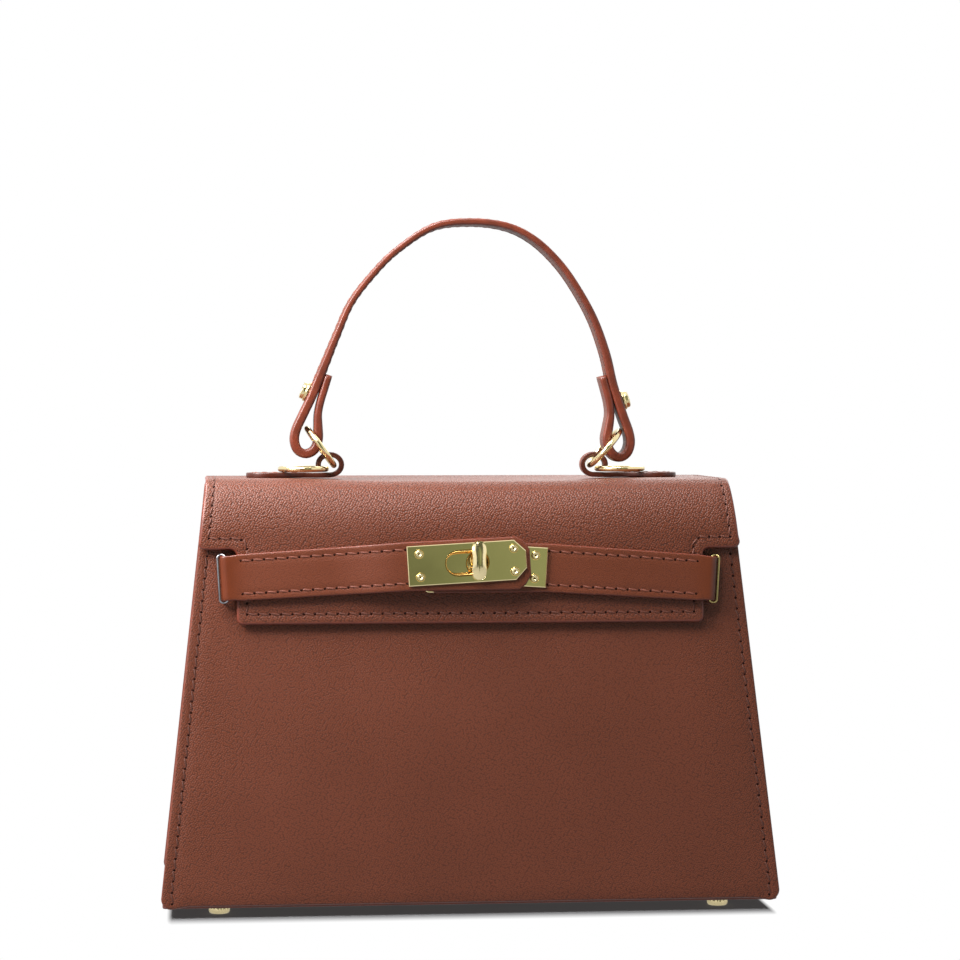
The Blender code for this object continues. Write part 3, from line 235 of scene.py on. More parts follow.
# Tabs, rings and handle
TAB_SIDE_INSET = 0.0188
TAB_THICKNESS = 0.0020
TAB_LENGTH = 0.0450
TAB_NECK_LENGTH = 0.0290
TAB_HALF_WIDTH = 0.0090
TAB_LOOP_HALF_WIDTH = 0.0028
TAB_LOOP_THICKNESS = 0.0017
TAB_EYE_LENGTH = 0.0086
TAB_EYE_HEIGHT = 0.0072
TAB_CURL_DEGREES = 292
TAB_CURL_WALL = 0.0023
TAB_CURL_STEPS = 28
TAB_THINS_FROM = 0.026
TAB_THINS_OVER = 0.008
TAB_SEAM_INSET = 0.0022
TAB_SEAM_END = 0.0032
TAB_SEAM_END_HALF_WIDTH = 0.0022
RING_RADIUS = 0.0106
RING_WIRE_RADIUS = 0.00135
SHOULDER_RING_PLAY = 0.0012
HANDLE_RING_PLAY = 0.0011
RING_TILTS = {-1: math.radians(36.0), 1: math.radians(41.3)}
HANDLE_OVERHANG = 0.0159
HANDLE_LOOP_LENGTH = 0.0200
HANDLE_RISE = 0.1190
ARCH_START_RISE = 0.0420
HANDLE_HALF_WIDTH = 0.0090
HANDLE_END_HALF_WIDTH = 0.0065
HANDLE_THICKNESS = 0.0030
HANDLE_END_THICKNESS = 0.0042
HANDLE_TAIL_THICKNESS = 0.0035
LEFT_LOOP_SHARES = (
    (0.496, 1.244), (0.405, 0.943), (0.312, 0.642), (0.251, 0.340), (0.251, 0.039),
    (0.255, -0.239), (0.171, -0.482), (-0.026, -0.586), (-0.215, -0.505), (-0.296, -0.285),
    (-0.259, -0.030), (-0.105, 0.306), (0.106, 0.746), (0.243, 1.082),
)
RIGHT_LOOP_SHARES = (
    (0.428, 1.291), (0.350, 1.010), (0.272, 0.706), (0.237, 0.402), (0.275, 0.098),
    (0.322, -0.207), (0.237, -0.476), (0.045, -0.619), (-0.149, -0.523), (-0.234, -0.289),
    (-0.198, -0.020), (-0.067, 0.343), (0.073, 0.753), (0.196, 1.151),
)
ARCH_SHARES = (
    (-0.824, 0.144), (-0.754, 0.318), (-0.670, 0.509), (-0.539, 0.682), (-0.397, 0.825),
    (-0.180, 0.968), (0.045, 1.000), (0.262, 0.975), (0.427, 0.895), (0.574, 0.757),
    (0.688, 0.597), (0.789, 0.410), (0.861, 0.207),
)
STUD_STATIONS = {-1: 12, 1: 28}
HANDLE_THICKENS_FROM = 2.5
HANDLE_THICKENS_OVER = 2
HANDLE_WIDENS_FROM = 13
HANDLE_WIDENS_OVER = 3
HANDLE_STEPS = 8
HANDLE_SECTIONS = 340
HANDLE_SEAM_INSET = 0.0026
HANDLE_END_ROUNDING = 0.0008
HANDLE_CORNER_STEPS = 5

# Turned profiles, as radius and height from the axis to the axis
FOOT_PROFILE = (
    (0, 0), (0.0028, 0.00002), (0.0040, 0.00018), (0.00455, 0.0006), (FOOT_RADIUS, 0.0012),
    (FOOT_RADIUS, 0.0026), (0.0045, 0.0030), (0.0045, 0.0032), (FOOT_RADIUS, FOOT_HEIGHT - 0.0004),
    (FOOT_RADIUS - 0.0001, FOOT_HEIGHT), (0, FOOT_HEIGHT),
)
RIVET_PROFILE = (
    (0, -0.00035), (0.00052, -0.00032), (0.00070, -0.00010), (0.00095, 0.00010), (0.00130, 0.00012),
    (0.00150, 0.00002), (0.00162, -0.0002), (0.00162, -0.0009), (0, -0.0009),
)
STUD_PROFILE = (
    (0, 0.0026), (0.0020, 0.0026), (0.0023, 0.0031), (0.0034, 0.0032), (0.0040, 0.0029), (0.0042, 0.0023),
    (0.0042, 0.0013), (0.0046, 0.0011), (0.0048, 0.0007), (0.0048, 0.0002), (0.0046, 0), (0.0015, 0),
    (0.0015, -0.004), (0, -0.004),
)

# Grain: its pebbles' warp as a share of their size, its turn in degrees, stretch and irregularity
PEBBLE_WARP = 0.45
PEBBLE_TURN = 27
PEBBLE_STRETCH = 1.16
PEBBLE_RANDOMNESS = 0.62

# Name, tone, pebble size and grain depth of the leathers
WALL_LEATHER = ("wall_leather", 1.0, 0.00098, 0.85)
STRAP_LEATHER = ("strap_leather", 1.05, 0.00088, 0.5)
# Tab leather is darkened with painted shade, the shade round the rings where the tabs sit
TAB_SHADED_LEATHER = ("tab_leather", 0.6, 0.00088, 0.5)

# Studio; the lamps are given as place, size, watts and colour
LAMP_AIM = (0, 0, 0.11)
LAMPS = {
    "key_light": ((-0.48, -0.28, 0.52), (0.26, 0.26), 5.8, (1.0, 0.985, 0.97)),
    "top_light": ((-0.34, -0.17, 1.00), (1.30, 0.22), 16.2, (1.0, 1.0, 1.0)),
    "back_light": ((0.4, 0.9, 1.0), (1.0, 1.0), 7.0, (1.0, 0.99, 0.98)),
}
# The card glows by its own emission and is seen only in reflections; its colour and its bright and dim strengths are
# painted light
CARD_SPOT = (0.12, -1.10, 0.42)
CARD_AIM = (0, 0, 0.15)
CARD_SIZE = (1.1, 1.7, 1)
CARD_COLOUR = (0.88, 1.0, 0.60, 1)
CARD_BRIGHT = 0.34
CARD_DIM = 0.19
SKY_COLOUR = (0.96, 0.98, 1.0, 1)
SKY_STRENGTH = 0.05
FLOOR_SHADE_START = 0.001
FLOOR_SHADE_END = 0.013
FLOOR_SHADE = 0.04
FLOOR_SHADE_SIDE_INSET = 0.005
FLOOR_SHADE_SIDE_PULL = 5.0
FLOOR_GLOSS = 0.55
CAMERA_PLACE = (0.0083, -1.350, 0.2249)
CAMERA_YAW = math.radians(-5.620)
CAMERA_PITCH = math.radians(1.285)
CAMERA_LENS = 108.14
SENSOR_WIDTH = 36.0

SIDES = (("left", -1), ("right", 1))

LEAN = math.atan(DEPTH_TAPER / (WALL_TOP - BASE_BOTTOM))
SLOPE_HEIGHT = (WALL_TOP - BASE_BOTTOM) / math.cos(LEAN)
FRONT_FOOT = SLOPE_HEIGHT + BAG_TOP - WALL_TOP - FLAP_FRONT_DROP


def half_width_at(z):
    """Half width of the front and back."""
    return BASE_HALF_WIDTH - SIDE_TAPER * (z - BASE_BOTTOM) / (WALL_TOP - BASE_BOTTOM)


def half_depth_at(z):
    """Half depth from the outside of the front to the outside of the back."""
    return BASE_HALF_DEPTH - DEPTH_TAPER * (z - BASE_BOTTOM) / (WALL_TOP - BASE_BOTTOM)


def slope_half_width(height):
    """Half width of the front or back at a height up its slope."""
    return half_width_at(BASE_BOTTOM + height * math.cos(LEAN))


def inner_half_depth(z):
    """Half of the depth that the front and back leave between them."""
    return half_depth_at(z) - (PANEL_THICKNESS + CLEARANCE) / math.cos(LEAN)


def gusset_fold(z):
    """How far the side walls fold inwards."""
    share = (z - BASE_BOTTOM) / (WALL_TOP - BASE_BOTTOM)
    return GUSSET_FOLD_BASE + share * (GUSSET_FOLD_MOUTH - GUSSET_FOLD_BASE)


FLAP_TOP_HALF_WIDTH = half_width_at(BAG_TOP) + FLAP_SIDE_REACH
EAR_HALF_WIDTH = half_width_at(BAG_TOP - EAR_DROP) + FLAP_SIDE_REACH
FLAP_FRONT_HALF_WIDTH = EAR_HALF_WIDTH - EAR_WIDTH
TAB_OUTER_X = FLAP_TOP_HALF_WIDTH - TAB_SIDE_INSET
TAB_LOOP_X = TAB_OUTER_X - TAB_LENGTH
EYE_X = TAB_LOOP_X + TAB_LOOP_THICKNESS + TAB_EYE_LENGTH / 2
HANDLE_HALF_SPAN = EYE_X + HANDLE_OVERHANG
TAB_BOTTOM = BAG_TOP + CLEARANCE
TAB_TOP = TAB_BOTTOM + TAB_THICKNESS
EYE_Z = TAB_TOP + TAB_EYE_HEIGHT / 2
SHOULDER_RING_Z = TAB_TOP + CLEARANCE + RING_WIRE_RADIUS

FRONT = Matrix.Translation((0, -BASE_HALF_DEPTH, BASE_BOTTOM)) @ Matrix.Rotation(math.pi / 2 - LEAN, 4, "X")
BACK = Matrix.Rotation(math.pi, 4, "Z") @ FRONT
LOCK = FRONT @ Matrix.Translation((LOCK_X, LOCK_HEIGHT, 0))
EAR_HEIGHT = (BAG_TOP - EAR_DROP - BASE_BOTTOM) / math.cos(LEAN)
STRAP_SIDE_X = EAR_HALF_WIDTH + SIDE_TAPER * STRAP_BELOW_EAR[-1] / SLOPE_HEIGHT
STRAP_ROOT_XS = {side: STRAP_SIDE_X - inset for side, inset in STRAP_ROOT_INSETS.items()}
STRAP_ROOT_HEIGHTS = {side: EAR_HEIGHT - drop for side, drop in STRAP_BELOW_EAR.items()}
STRAP_REACHES = {side: (STRAP_ROOT_XS[side] - side * LOCK_X, STRAP_CLIMBS[side]) for side in (-1, 1)}
PLATE_STARTS = {side: math.hypot(*STRAP_REACHES[side]) - PLATE_BEFORE_LOCK[side] for side in (-1, 1)}


def strap_matrix(side):
    """Frame on a strap's wire: x along the strap to the middle of the bag, z out of the front."""
    across, up = STRAP_REACHES[side]
    place = Matrix.Translation((side * STRAP_ROOT_XS[side], STRAP_ROOT_HEIGHTS[side], LOOP_OUT))
    return FRONT @ place @ Matrix.Rotation(math.atan2(up, -side * across), 4, "Z")


def spaced(first, last, steps):
    """Evenly spaced numbers, both ends included."""
    return [first + (last - first) * i / steps for i in range(steps + 1)]


def ease(share):
    """Smooth step from 0 to 1."""
    share = min(max(share, 0), 1)
    return share * share * (3 - 2 * share)


def arc(centre, radius, start, end, steps=8):
    """Points on an arc between two angles in degrees."""
    angles = [math.radians(a) for a in spaced(start, end, steps)]
    return [(centre[0] + radius * math.cos(a), centre[1] + radius * math.sin(a)) for a in angles]


def circle(centre, radius, facets=24):
    """Points round a circle, the first not repeated."""
    return arc(centre, radius, 0, 360, facets)[:-1]


def slot_outline(centre, half_length, half_width):
    """Long hole with round ends."""
    reach = half_length - half_width
    right = arc((centre[0] + reach, centre[1]), half_width, -90, 90, 12)
    left = arc((centre[0] - reach, centre[1]), half_width, 90, 270, 12)
    return right + left


def rounded_rectangle(half_x, half_y, radius, steps=6):
    """Rectangle with round corners, from its lower right one anticlockwise."""
    corners = []
    for sx, sy, start in ((1, -1, -90), (1, 1, 0), (-1, 1, 90), (-1, -1, 180)):
        centre = (sx * (half_x - radius), sy * (half_y - radius))
        corners += arc(centre, radius, start, start + 90, steps)
    return corners


def resampled(points, spacing, closed=True):
    """Points along a line, none further apart than spacing."""
    result = []
    ends = points[1:] + points[:1] if closed else points[1:]
    for first, last in zip(points, ends):
        steps = max(1, math.ceil(math.dist(first, last) / spacing))
        result += [tuple(a + (b - a) * i / steps for a, b in zip(first, last)) for i in range(steps)]
    return result if closed else result + [tuple(points[-1])]


def inset_outline(outline, distance):
    """Outline moved to the left of its run, inwards where it runs anticlockwise."""
    moved = []
    for i, point in enumerate(outline):
        before = (Vector(point) - Vector(outline[i - 1])).normalized()
        after = (Vector(outline[(i + 1) % len(outline)]) - Vector(point)).normalized()
        left = Vector((-before.y - after.y, before.x + after.x)).normalized()
        spread = max(left.dot(Vector((-before.y, before.x))), 0.6)
        moved.append(tuple(Vector(point) + left * distance / spread))
    return moved


def inside_mask(points, loops):
    """Which points lie inside the loops, holes left out."""
    mask = np.zeros(len(points), dtype=bool)
    for loop in loops:
        ring = np.array(loop)
        x0, y0 = ring[:, 0], ring[:, 1]
        x1, y1 = np.roll(x0, -1), np.roll(y0, -1)
        for a, b, c, d in zip(x0, y0, x1, y1):
            if b == d:
                continue
            crossing = (points[:, 1] < b) != (points[:, 1] < d)
            mask ^= crossing & (points[:, 0] < (c - a) * (points[:, 1] - b) / (d - b) + a)
    return mask


def grid_inside(loops, spacing, extra):
    """Grid of points inside the loops and clear of them, closer together along the extra lines."""
    ring = np.array([point for loop in loops for point in loop])
    low, high = ring.min(axis=0), ring.max(axis=0)
    xs = np.arange(low[0] + spacing / 2, high[0], spacing)
    ys = np.arange(low[1] + spacing / 2, high[1], spacing)
    grid = np.array([(x + spacing / 4 * (-1) ** j, y) for j, y in enumerate(ys) for x in xs])
    fine = np.array(extra) if extra else np.zeros((0, 2))
    kept = []
    for points, gap in ((fine, LINE_CLEARANCE), (grid, spacing * GRID_CLEARANCE_SHARE)):
        if not len(points):
            continue
        points = points[inside_mask(points, loops)]
        taken = np.vstack([ring, *kept]) if kept else ring
        near = np.array([((taken - point) ** 2).sum(axis=1).min() for point in points])
        kept.append(points[near > gap * gap])
    return [tuple(point) for rows in kept for point in rows]


def sheet_mesh(name, outline, place, thickness, rounding, spacing, holes=(), lines=(), relief=None,
               steps=3, painted=0):
    """Sheet cut to an outline with rounded edges, put in place by a function of u, v and height.

    Its face, its edge and its back take the first, second and third material; the paint of the
    edge stops short of the face by one row unless it is painted all round.
    """
    edge_spacing = min(spacing, EDGE_SPACING)
    loops = [resampled(list(outline), edge_spacing)]
    loops += [resampled(list(hole), edge_spacing)[::-1] for hole in holes]
    extra = []
    for line in lines:
        for shift in (-LINE_SHIFT, 0, LINE_SHIFT):
            extra += offset_line(resampled(line, LINE_SPACING, closed=False), shift)
    turns = [math.pi / 2 * k / steps for k in range(steps + 1)]
    rows = [(rounding * (1 - math.cos(a)), -thickness + rounding * (1 - math.sin(a))) for a in turns[::-1]]
    rows += [(rounding * (1 - math.cos(a)), -rounding * (1 - math.sin(a))) for a in turns]
    build = bmesh.new()

    def vertex(u, v, height, front):
        lift = relief(u, v) if relief and front else 0
        return build.verts.new(place(u, v, height + lift))

    fronts, backs, inner = [], [], []
    for loop in loops:
        rings = []
        for j, (inset, height) in enumerate(rows):
            points = inset_outline(loop, inset) if inset else loop
            rings.append([vertex(u, v, height, j > steps) for u, v in points])
            if j == len(rows) - 1:
                inner.append(points)
        count = len(loop)
        for j, (low, high) in enumerate(zip(rings, rings[1:])):
            for i in range(count):
                k = (i + 1) % count
                face = build.faces.new((low[i], low[k], high[k], high[i]))
                face.material_index = 0 if j == 2 * steps and not painted else 2 if j == 0 else 1
        backs += rings[0]
        fronts += rings[-1]
    grid = grid_inside(inner, spacing, extra)
    points = [point for loop in inner for point in loop] + grid
    edges, start = [], 0
    for loop in inner:
        count = len(loop)
        edges += [(start + i, start + (i + 1) % count) for i in range(count)]
        start += count
    verts, _, faces, sources, _, _ = delaunay_2d_cdt([Vector(p) for p in points], edges, [], 0, 1e-7)
    centres = np.array([sum((np.array(verts[i]) for i in face), np.zeros(2)) / 3 for face in faces])
    wanted = inside_mask(centres, inner)
    rim = len(fronts)
    top, bottom = {}, {}
    for i, source in enumerate(sources):
        known = [s for s in source if s < rim]
        if known:
            top[i], bottom[i] = fronts[known[0]], backs[known[0]]
    for face, keep in zip(faces, wanted):
        if not keep or len(set(face)) < 3:
            continue
        for i in face:
            if i not in top:
                u, v = verts[i]
                top[i], bottom[i] = vertex(u, v, 0, True), vertex(u, v, -thickness, False)
        for corners, index in (([top[i] for i in face], 0), ([bottom[i] for i in face][::-1], 2)):
            if len(set(corners)) == 3 and not build.faces.get(corners):
                build.faces.new(corners).material_index = index
    return finished(name, build)


def finished(name, build, sharp=None, turned_out=True):
    """Mesh of a build, smooth but for edges sharper than the given degrees."""
    if turned_out:
        bmesh.ops.recalc_face_normals(build, faces=build.faces)
    mesh = bpy.data.meshes.new(name)
    build.to_mesh(mesh)
    build.free()
    mesh.shade_smooth()
    if sharp:
        mesh.set_sharp_from_angle(angle=math.radians(sharp))
    return mesh


def offset_line(line, distance):
    """Open line moved sideways to its left."""
    moved = []
    for i, point in enumerate(line):
        run = Vector(line[min(i + 1, len(line) - 1)]) - Vector(line[max(i - 1, 0)])
        run.normalize()
        moved.append((point[0] - run.y * distance, point[1] + run.x * distance))
    return moved


def line_distance(u, v, lines):
    """Distance to the nearest of some lines, 1 at most."""
    best = 1.0
    for line in lines:
        for (a, b), (c, d) in zip(line, line[1:]):
            du, dv = c - a, d - b
            length = du * du + dv * dv
            share = min(max(((u - a) * du + (v - b) * dv) / length, 0), 1) if length else 0
            best = min(best, math.hypot(u - a - share * du, v - b - share * dv))
    return best


def groove(lines, depth=GROOVE_DEPTH, width=GROOVE_WIDTH):
    """Relief of leather that its stitches pull in."""
    def relief(u, v):
        return -depth * math.exp(-((line_distance(u, v, lines) / width) ** 2))
    return relief


def with_relief(place, relief):
    """Function that puts a height on a leather's face, the pull of its stitches included."""
    def surface(u, v, height):
        return place(u, v, height + relief(u, v))
    return surface


def skin(build, rows):
    """Faces between rings of equal counts of vertices."""
    for low, high in zip(rows, rows[1:]):
        for i in range(len(low)):
            j = (i + 1) % len(low)
            build.faces.new((low[i], low[j], high[j], high[i]))


def cap(build, rows):
    """Faces that close the first and the last ring."""
    build.faces.new(rows[0][::-1])
    build.faces.new(rows[-1])


def loft_mesh(name, sections, sharp=None, ringed=False):
    """Skin over closed sections of equal counts of points; a ringed one joins its last to its first."""
    build = bmesh.new()
    rows = [[build.verts.new(point) for point in section] for section in sections]
    skin(build, rows)
    if ringed:
        skin(build, [rows[-1], rows[0]])
    else:
        cap(build, rows)
    return finished(name, build, sharp)


def tube_mesh(name, path, radius, closed=False, facets=16):
    """Round wire along a path."""
    points = [Vector(p) for p in path]
    count = len(points)
    build = bmesh.new()
    rows, side = [], None
    for i, point in enumerate(points):
        after = points[(i + 1) % count] if closed else points[min(i + 1, count - 1)]
        before = points[i - 1] if closed or i else points[0]
        run = (after - before).normalized()
        if side is None:
            side = run.orthogonal().normalized()
        side = (side - run * side.dot(run)).normalized()
        up = run.cross(side)
        angles = [2 * math.pi * k / facets for k in range(facets)]
        rows.append([build.verts.new(point + (side * math.cos(a) + up * math.sin(a)) * radius) for a in angles])
    skin(build, rows)
    if closed:
        shift = min(range(facets), key=lambda k: (rows[0][k].co - rows[-1][0].co).length)
        skin(build, [rows[-1], rows[0][shift:] + rows[0][:shift]])
    else:
        cap(build, rows)
    return finished(name, build, 50)


def turned_mesh(name, profile, facets=48, flutes=0, flute_depth=0.0, fluted=(), sharp=40):
    """Solid turned about z; the profile runs from the axis to the axis; some of its rows are fluted."""
    build = bmesh.new()
    rows = []
    for j, (radius, z) in enumerate(profile):
        if radius == 0:
            rows.append([build.verts.new((0, 0, z))])
            continue
        ring = []
        for i in range(facets):
            angle = 2 * math.pi * i / facets
            cut = flute_depth * (0.5 - 0.5 * math.cos(flutes * angle)) if j in fluted else 0
            ring.append(build.verts.new(((radius - cut) * math.cos(angle), (radius - cut) * math.sin(angle), z)))
        rows.append(ring)
    for low, high in zip(rows, rows[1:]):
        for i in range(facets):
            j = (i + 1) % facets
            corners = [low[i % len(low)], low[j % len(low)], high[j % len(high)], high[i % len(high)]]
            build.faces.new(list(dict.fromkeys(corners)))
    return finished(name, build, sharp)


def joined_mesh(name, parts, sharp=None):
    """One mesh of several, each with its own matrix; material numbers are kept."""
    build = bmesh.new()
    for mesh, matrix in parts:
        copy = mesh.copy()
        copy.transform(matrix)
        build.from_mesh(copy)
        bpy.data.meshes.remove(copy)
    return finished(name, build, sharp, turned_out=False)


def run_lengths(points):
    """Distance along a line to each of its points."""
    lengths = [0.0]
    for first, last in zip(points, points[1:]):
        lengths.append(lengths[-1] + (last - first).length)
    return lengths


def smooth_line(points, steps):
    """Smooth curve through the points, with as many steps from each to the next."""
    places = [Vector(point) for point in points]
    result = []
    for i in range(len(places) - 1):
        before = places[i - 1] if i else places[i]
        after = places[i + 2] if i + 2 < len(places) else places[i + 1]
        first, last = places[i], places[i + 1]
        handles = (first + (last - before) / 6, last - (after - first) / 6)
        run = interpolate_bezier(first, *handles, last, steps + 1)
        result += run if i == len(places) - 2 else run[:-1]
    return result


def stitch_places(line, pitch):
    """Evenly spaced stitch middles with their directions, and the holes between them."""
    lengths = [0.0]
    for first, last in zip(line, line[1:]):
        lengths.append(lengths[-1] + math.dist(first, last))
    count = max(1, round(lengths[-1] / pitch))
    step = lengths[-1] / count

    def at(distance):
        k = 0
        while k < len(line) - 2 and lengths[k + 1] < distance:
            k += 1
        share = (distance - lengths[k]) / max(lengths[k + 1] - lengths[k], 1e-9)
        point = Vector(line[k]).lerp(Vector(line[k + 1]), share)
        return point, (Vector(line[k + 1]) - Vector(line[k])).normalized()

    holes = [at(i * step)[0] for i in range(count + 1)]
    middles = [at((i + 0.5) * step) for i in range(count)]
    return middles, holes, step


def add_stitches(build, line, surface, pitch, slant, radius=THREAD_RADIUS, lift=THREAD_LIFT):
    """Threads pulled into needle holes darkened with painted shade, along a line on a leather surface."""
    middles, holes, step = stitch_places(line, pitch)
    length = step * THREAD_SHARE
    around = [2 * math.pi * k / THREAD_CORNERS for k in range(THREAD_CORNERS)]
    for middle, run in middles:
        run = Vector((run.x * math.cos(slant) - run.y * math.sin(slant),
                      run.x * math.sin(slant) + run.y * math.cos(slant)))
        across = Vector((-run.y, run.x))
        rows = []
        for t in (-1, -0.8, -0.4, 0, 0.4, 0.8, 1):
            centre = middle + run * (t * length / 2)
            rise = lift * (1 - t * t) - THREAD_SUNK
            thick = radius * math.sqrt(1 - 0.75 * t * t)
            ring = []
            for angle in around:
                place = centre + across * (thick * math.cos(angle))
                ring.append(build.verts.new(surface(place.x, place.y, rise + thick * 0.8 * math.sin(angle))))
            rows.append(ring)
        skin(build, rows)
        cap(build, rows)
    # Each hole is a small cone in a near-black material: painted shade of the hole
    for hole in holes:
        rim = [build.verts.new(surface(x, y, HOLE_RIM)) for x, y in circle(hole, HOLE_RADIUS, HOLE_CORNERS)]
        top = build.verts.new(surface(hole.x, hole.y, HOLE_LID))
        low = build.verts.new(surface(hole.x, hole.y, HOLE_FLOOR))
        for first, second in zip(rim, rim[1:] + rim[:1]):
            build.faces.new((first, second, top)).material_index = 1
            build.faces.new((second, first, low)).material_index = 1


def add_seam(name, rows, body, yarn=None, pitch_share=1, **sizes):
    """One piece for all the stitches that ride on a body; rows are line, surface, slant in degrees."""
    pitch = settings().stitch_pitch * pitch_share
    build = bmesh.new()
    for line, surface, slant in rows:
        add_stitches(build, line, surface, pitch, math.radians(slant), **sizes)
    return add_piece(name, finished(name, build), [yarn or thread(), needle_hole_shade()], body)


class Nodes:
    """Small helper that adds and links shader nodes."""

    def __init__(self, tree):
        self.tree = tree
        self.shader = tree.nodes.get("Principled BSDF")

    def add(self, kind, **values):
        node = self.tree.nodes.new(kind)
        for key, value in values.items():
            setattr(node, key, value)
        return node

    def link(self, source, target):
        self.tree.links.new(source, target)

    def put(self, node, **values):
        for key, value in values.items():
            node.inputs[key.replace("_", " ")].default_value = value

    def place(self, scale=(1, 1, 1)):
        """Coordinates fixed to the piece, in metres."""
        where = self.add("ShaderNodeTexCoord")
        mapping = self.add("ShaderNodeMapping")
        mapping.inputs["Scale"].default_value = scale
        self.link(where.outputs["Object"], mapping.inputs["Vector"])
        return mapping.outputs["Vector"]

    def noise(self, vector, scale, detail=3.0, rough=0.5):
        node = self.add("ShaderNodeTexNoise")
        self.put(node, Scale=scale, Detail=detail, Roughness=rough)
        self.link(vector, node.inputs["Vector"])
        return node.outputs["Fac"]

    def remap(self, value, low, high, to_low, to_high):
        node = self.add("ShaderNodeMapRange")
        for key, number in (("From Min", low), ("From Max", high), ("To Min", to_low), ("To Max", to_high)):
            node.inputs[key].default_value = number
        self.link(value, node.inputs["Value"])
        return node.outputs["Result"]

    def spread(self, cloud, low=0.0, high=1.0):
        """The middle of a noise's range, stretched to the given one."""
        return self.remap(cloud, 0.3, 0.7, low, high)

    def math(self, operation, a, b):
        node = self.add("ShaderNodeMath", operation=operation)
        for socket, value in zip(node.inputs, (a, b)):
            if isinstance(value, (int, float)):
                socket.default_value = value
            else:
                self.link(value, socket)
        return node.outputs[0]

    def mix(self, factor, first, second):
        node = self.add("ShaderNodeMix", data_type="RGBA", blend_type="MIX")
        if isinstance(factor, (int, float)):
            node.inputs[0].default_value = factor
        else:
            self.link(factor, node.inputs[0])
        for socket, value in ((node.inputs[6], first), (node.inputs[7], second)):
            if not isinstance(value, bpy.types.NodeSocket):
                socket.default_value = (*value, 1)
            else:
                self.link(value, socket)
        return node.outputs[2]

    def shades(self, share, colour, dark, bright):
        """Colour that a share takes from one factor of it to another."""
        return self.mix(share, shaded(colour, dark), shaded(colour, bright))

    def bump(self, height, strength, distance, before=None):
        node = self.add("ShaderNodeBump")
        self.put(node, Strength=strength, Distance=distance)
        self.link(height, node.inputs["Height"])
        if before:
            self.link(before, node.inputs["Normal"])
        return node.outputs["Normal"]

    def blend(self, share, first, second, output):
        """Show two shaders, the second by its share."""
        mix = self.add("ShaderNodeMixShader")
        self.link(share, mix.inputs["Fac"])
        self.link(first, mix.inputs[1])
        self.link(second, mix.inputs[2])
        self.link(mix.outputs[0], output.inputs["Surface"])

    def finish(self, colour, roughness, normal=None):
        self.link(colour, self.shader.inputs["Base Color"])
        if isinstance(roughness, float):
            self.put(self.shader, Roughness=roughness)
        else:
            self.link(roughness, self.shader.inputs["Roughness"])
        if normal:
            self.link(normal, self.shader.inputs["Normal"])


def material_named(name):
    """A material and the helper to build it with, or the one there is and no helper."""
    material = bpy.data.materials.get(name)
    if material:
        return material, None
    material = bpy.data.materials.new(name)
    material.use_nodes = True
    return material, Nodes(material.node_tree)


def shaded(colour, factor):
    """Colour made darker or brighter."""
    return tuple(min(channel * factor, 1) for channel in colour)


def pebbles(n, cell):
    """Distance from the middle of a pebble, in a pattern laid flat on the faces it covers."""
    where = n.add("ShaderNodeTexCoord")
    warp = n.add("ShaderNodeTexNoise")
    n.put(warp, Scale=0.35 / cell, Detail=1.0)
    n.link(where.outputs["Object"], warp.inputs["Vector"])
    shift = n.add("ShaderNodeVectorMath", operation="MULTIPLY_ADD")
    n.link(warp.outputs["Color"], shift.inputs[0])
    shift.inputs[1].default_value = (cell * PEBBLE_WARP,) * 3
    n.link(where.outputs["Object"], shift.inputs[2])
    spot, normal = n.add("ShaderNodeSeparateXYZ"), n.add("ShaderNodeSeparateXYZ")
    n.link(shift.outputs[0], spot.inputs[0])
    n.link(where.outputs["Normal"], normal.inputs[0])
    flat = {}
    for key, first, second in (("Y", "X", "Z"), ("Z", "X", "Y"), ("X", "Y", "Z")):
        pair = n.add("ShaderNodeCombineXYZ")
        n.link(spot.outputs[first], pair.inputs[0])
        n.link(spot.outputs[second], pair.inputs[1])
        turned = n.add("ShaderNodeMapping")
        turned.inputs["Rotation"].default_value = (0, 0, math.radians(PEBBLE_TURN))
        turned.inputs["Scale"].default_value = (1.0, PEBBLE_STRETCH, 1.0)
        n.link(pair.outputs[0], turned.inputs["Vector"])
        cells = n.add("ShaderNodeTexVoronoi", voronoi_dimensions="2D", feature="F1")
        n.put(cells, Scale=1 / cell, Randomness=PEBBLE_RANDOMNESS)
        n.link(turned.outputs["Vector"], cells.inputs["Vector"])
        flat[key] = cells.outputs["Distance"]
    result = flat["Y"]
    for key in ("Z", "X"):
        facing = n.remap(n.math("ABSOLUTE", normal.outputs[key], 0), 0.66, 0.80, 0.0, 1.0)
        blend = n.add("ShaderNodeMix", data_type="FLOAT")
        n.link(facing, blend.inputs[0])
        n.link(result, blend.inputs[2])
        n.link(flat[key], blend.inputs[3])
        result = blend.outputs[0]
    return result


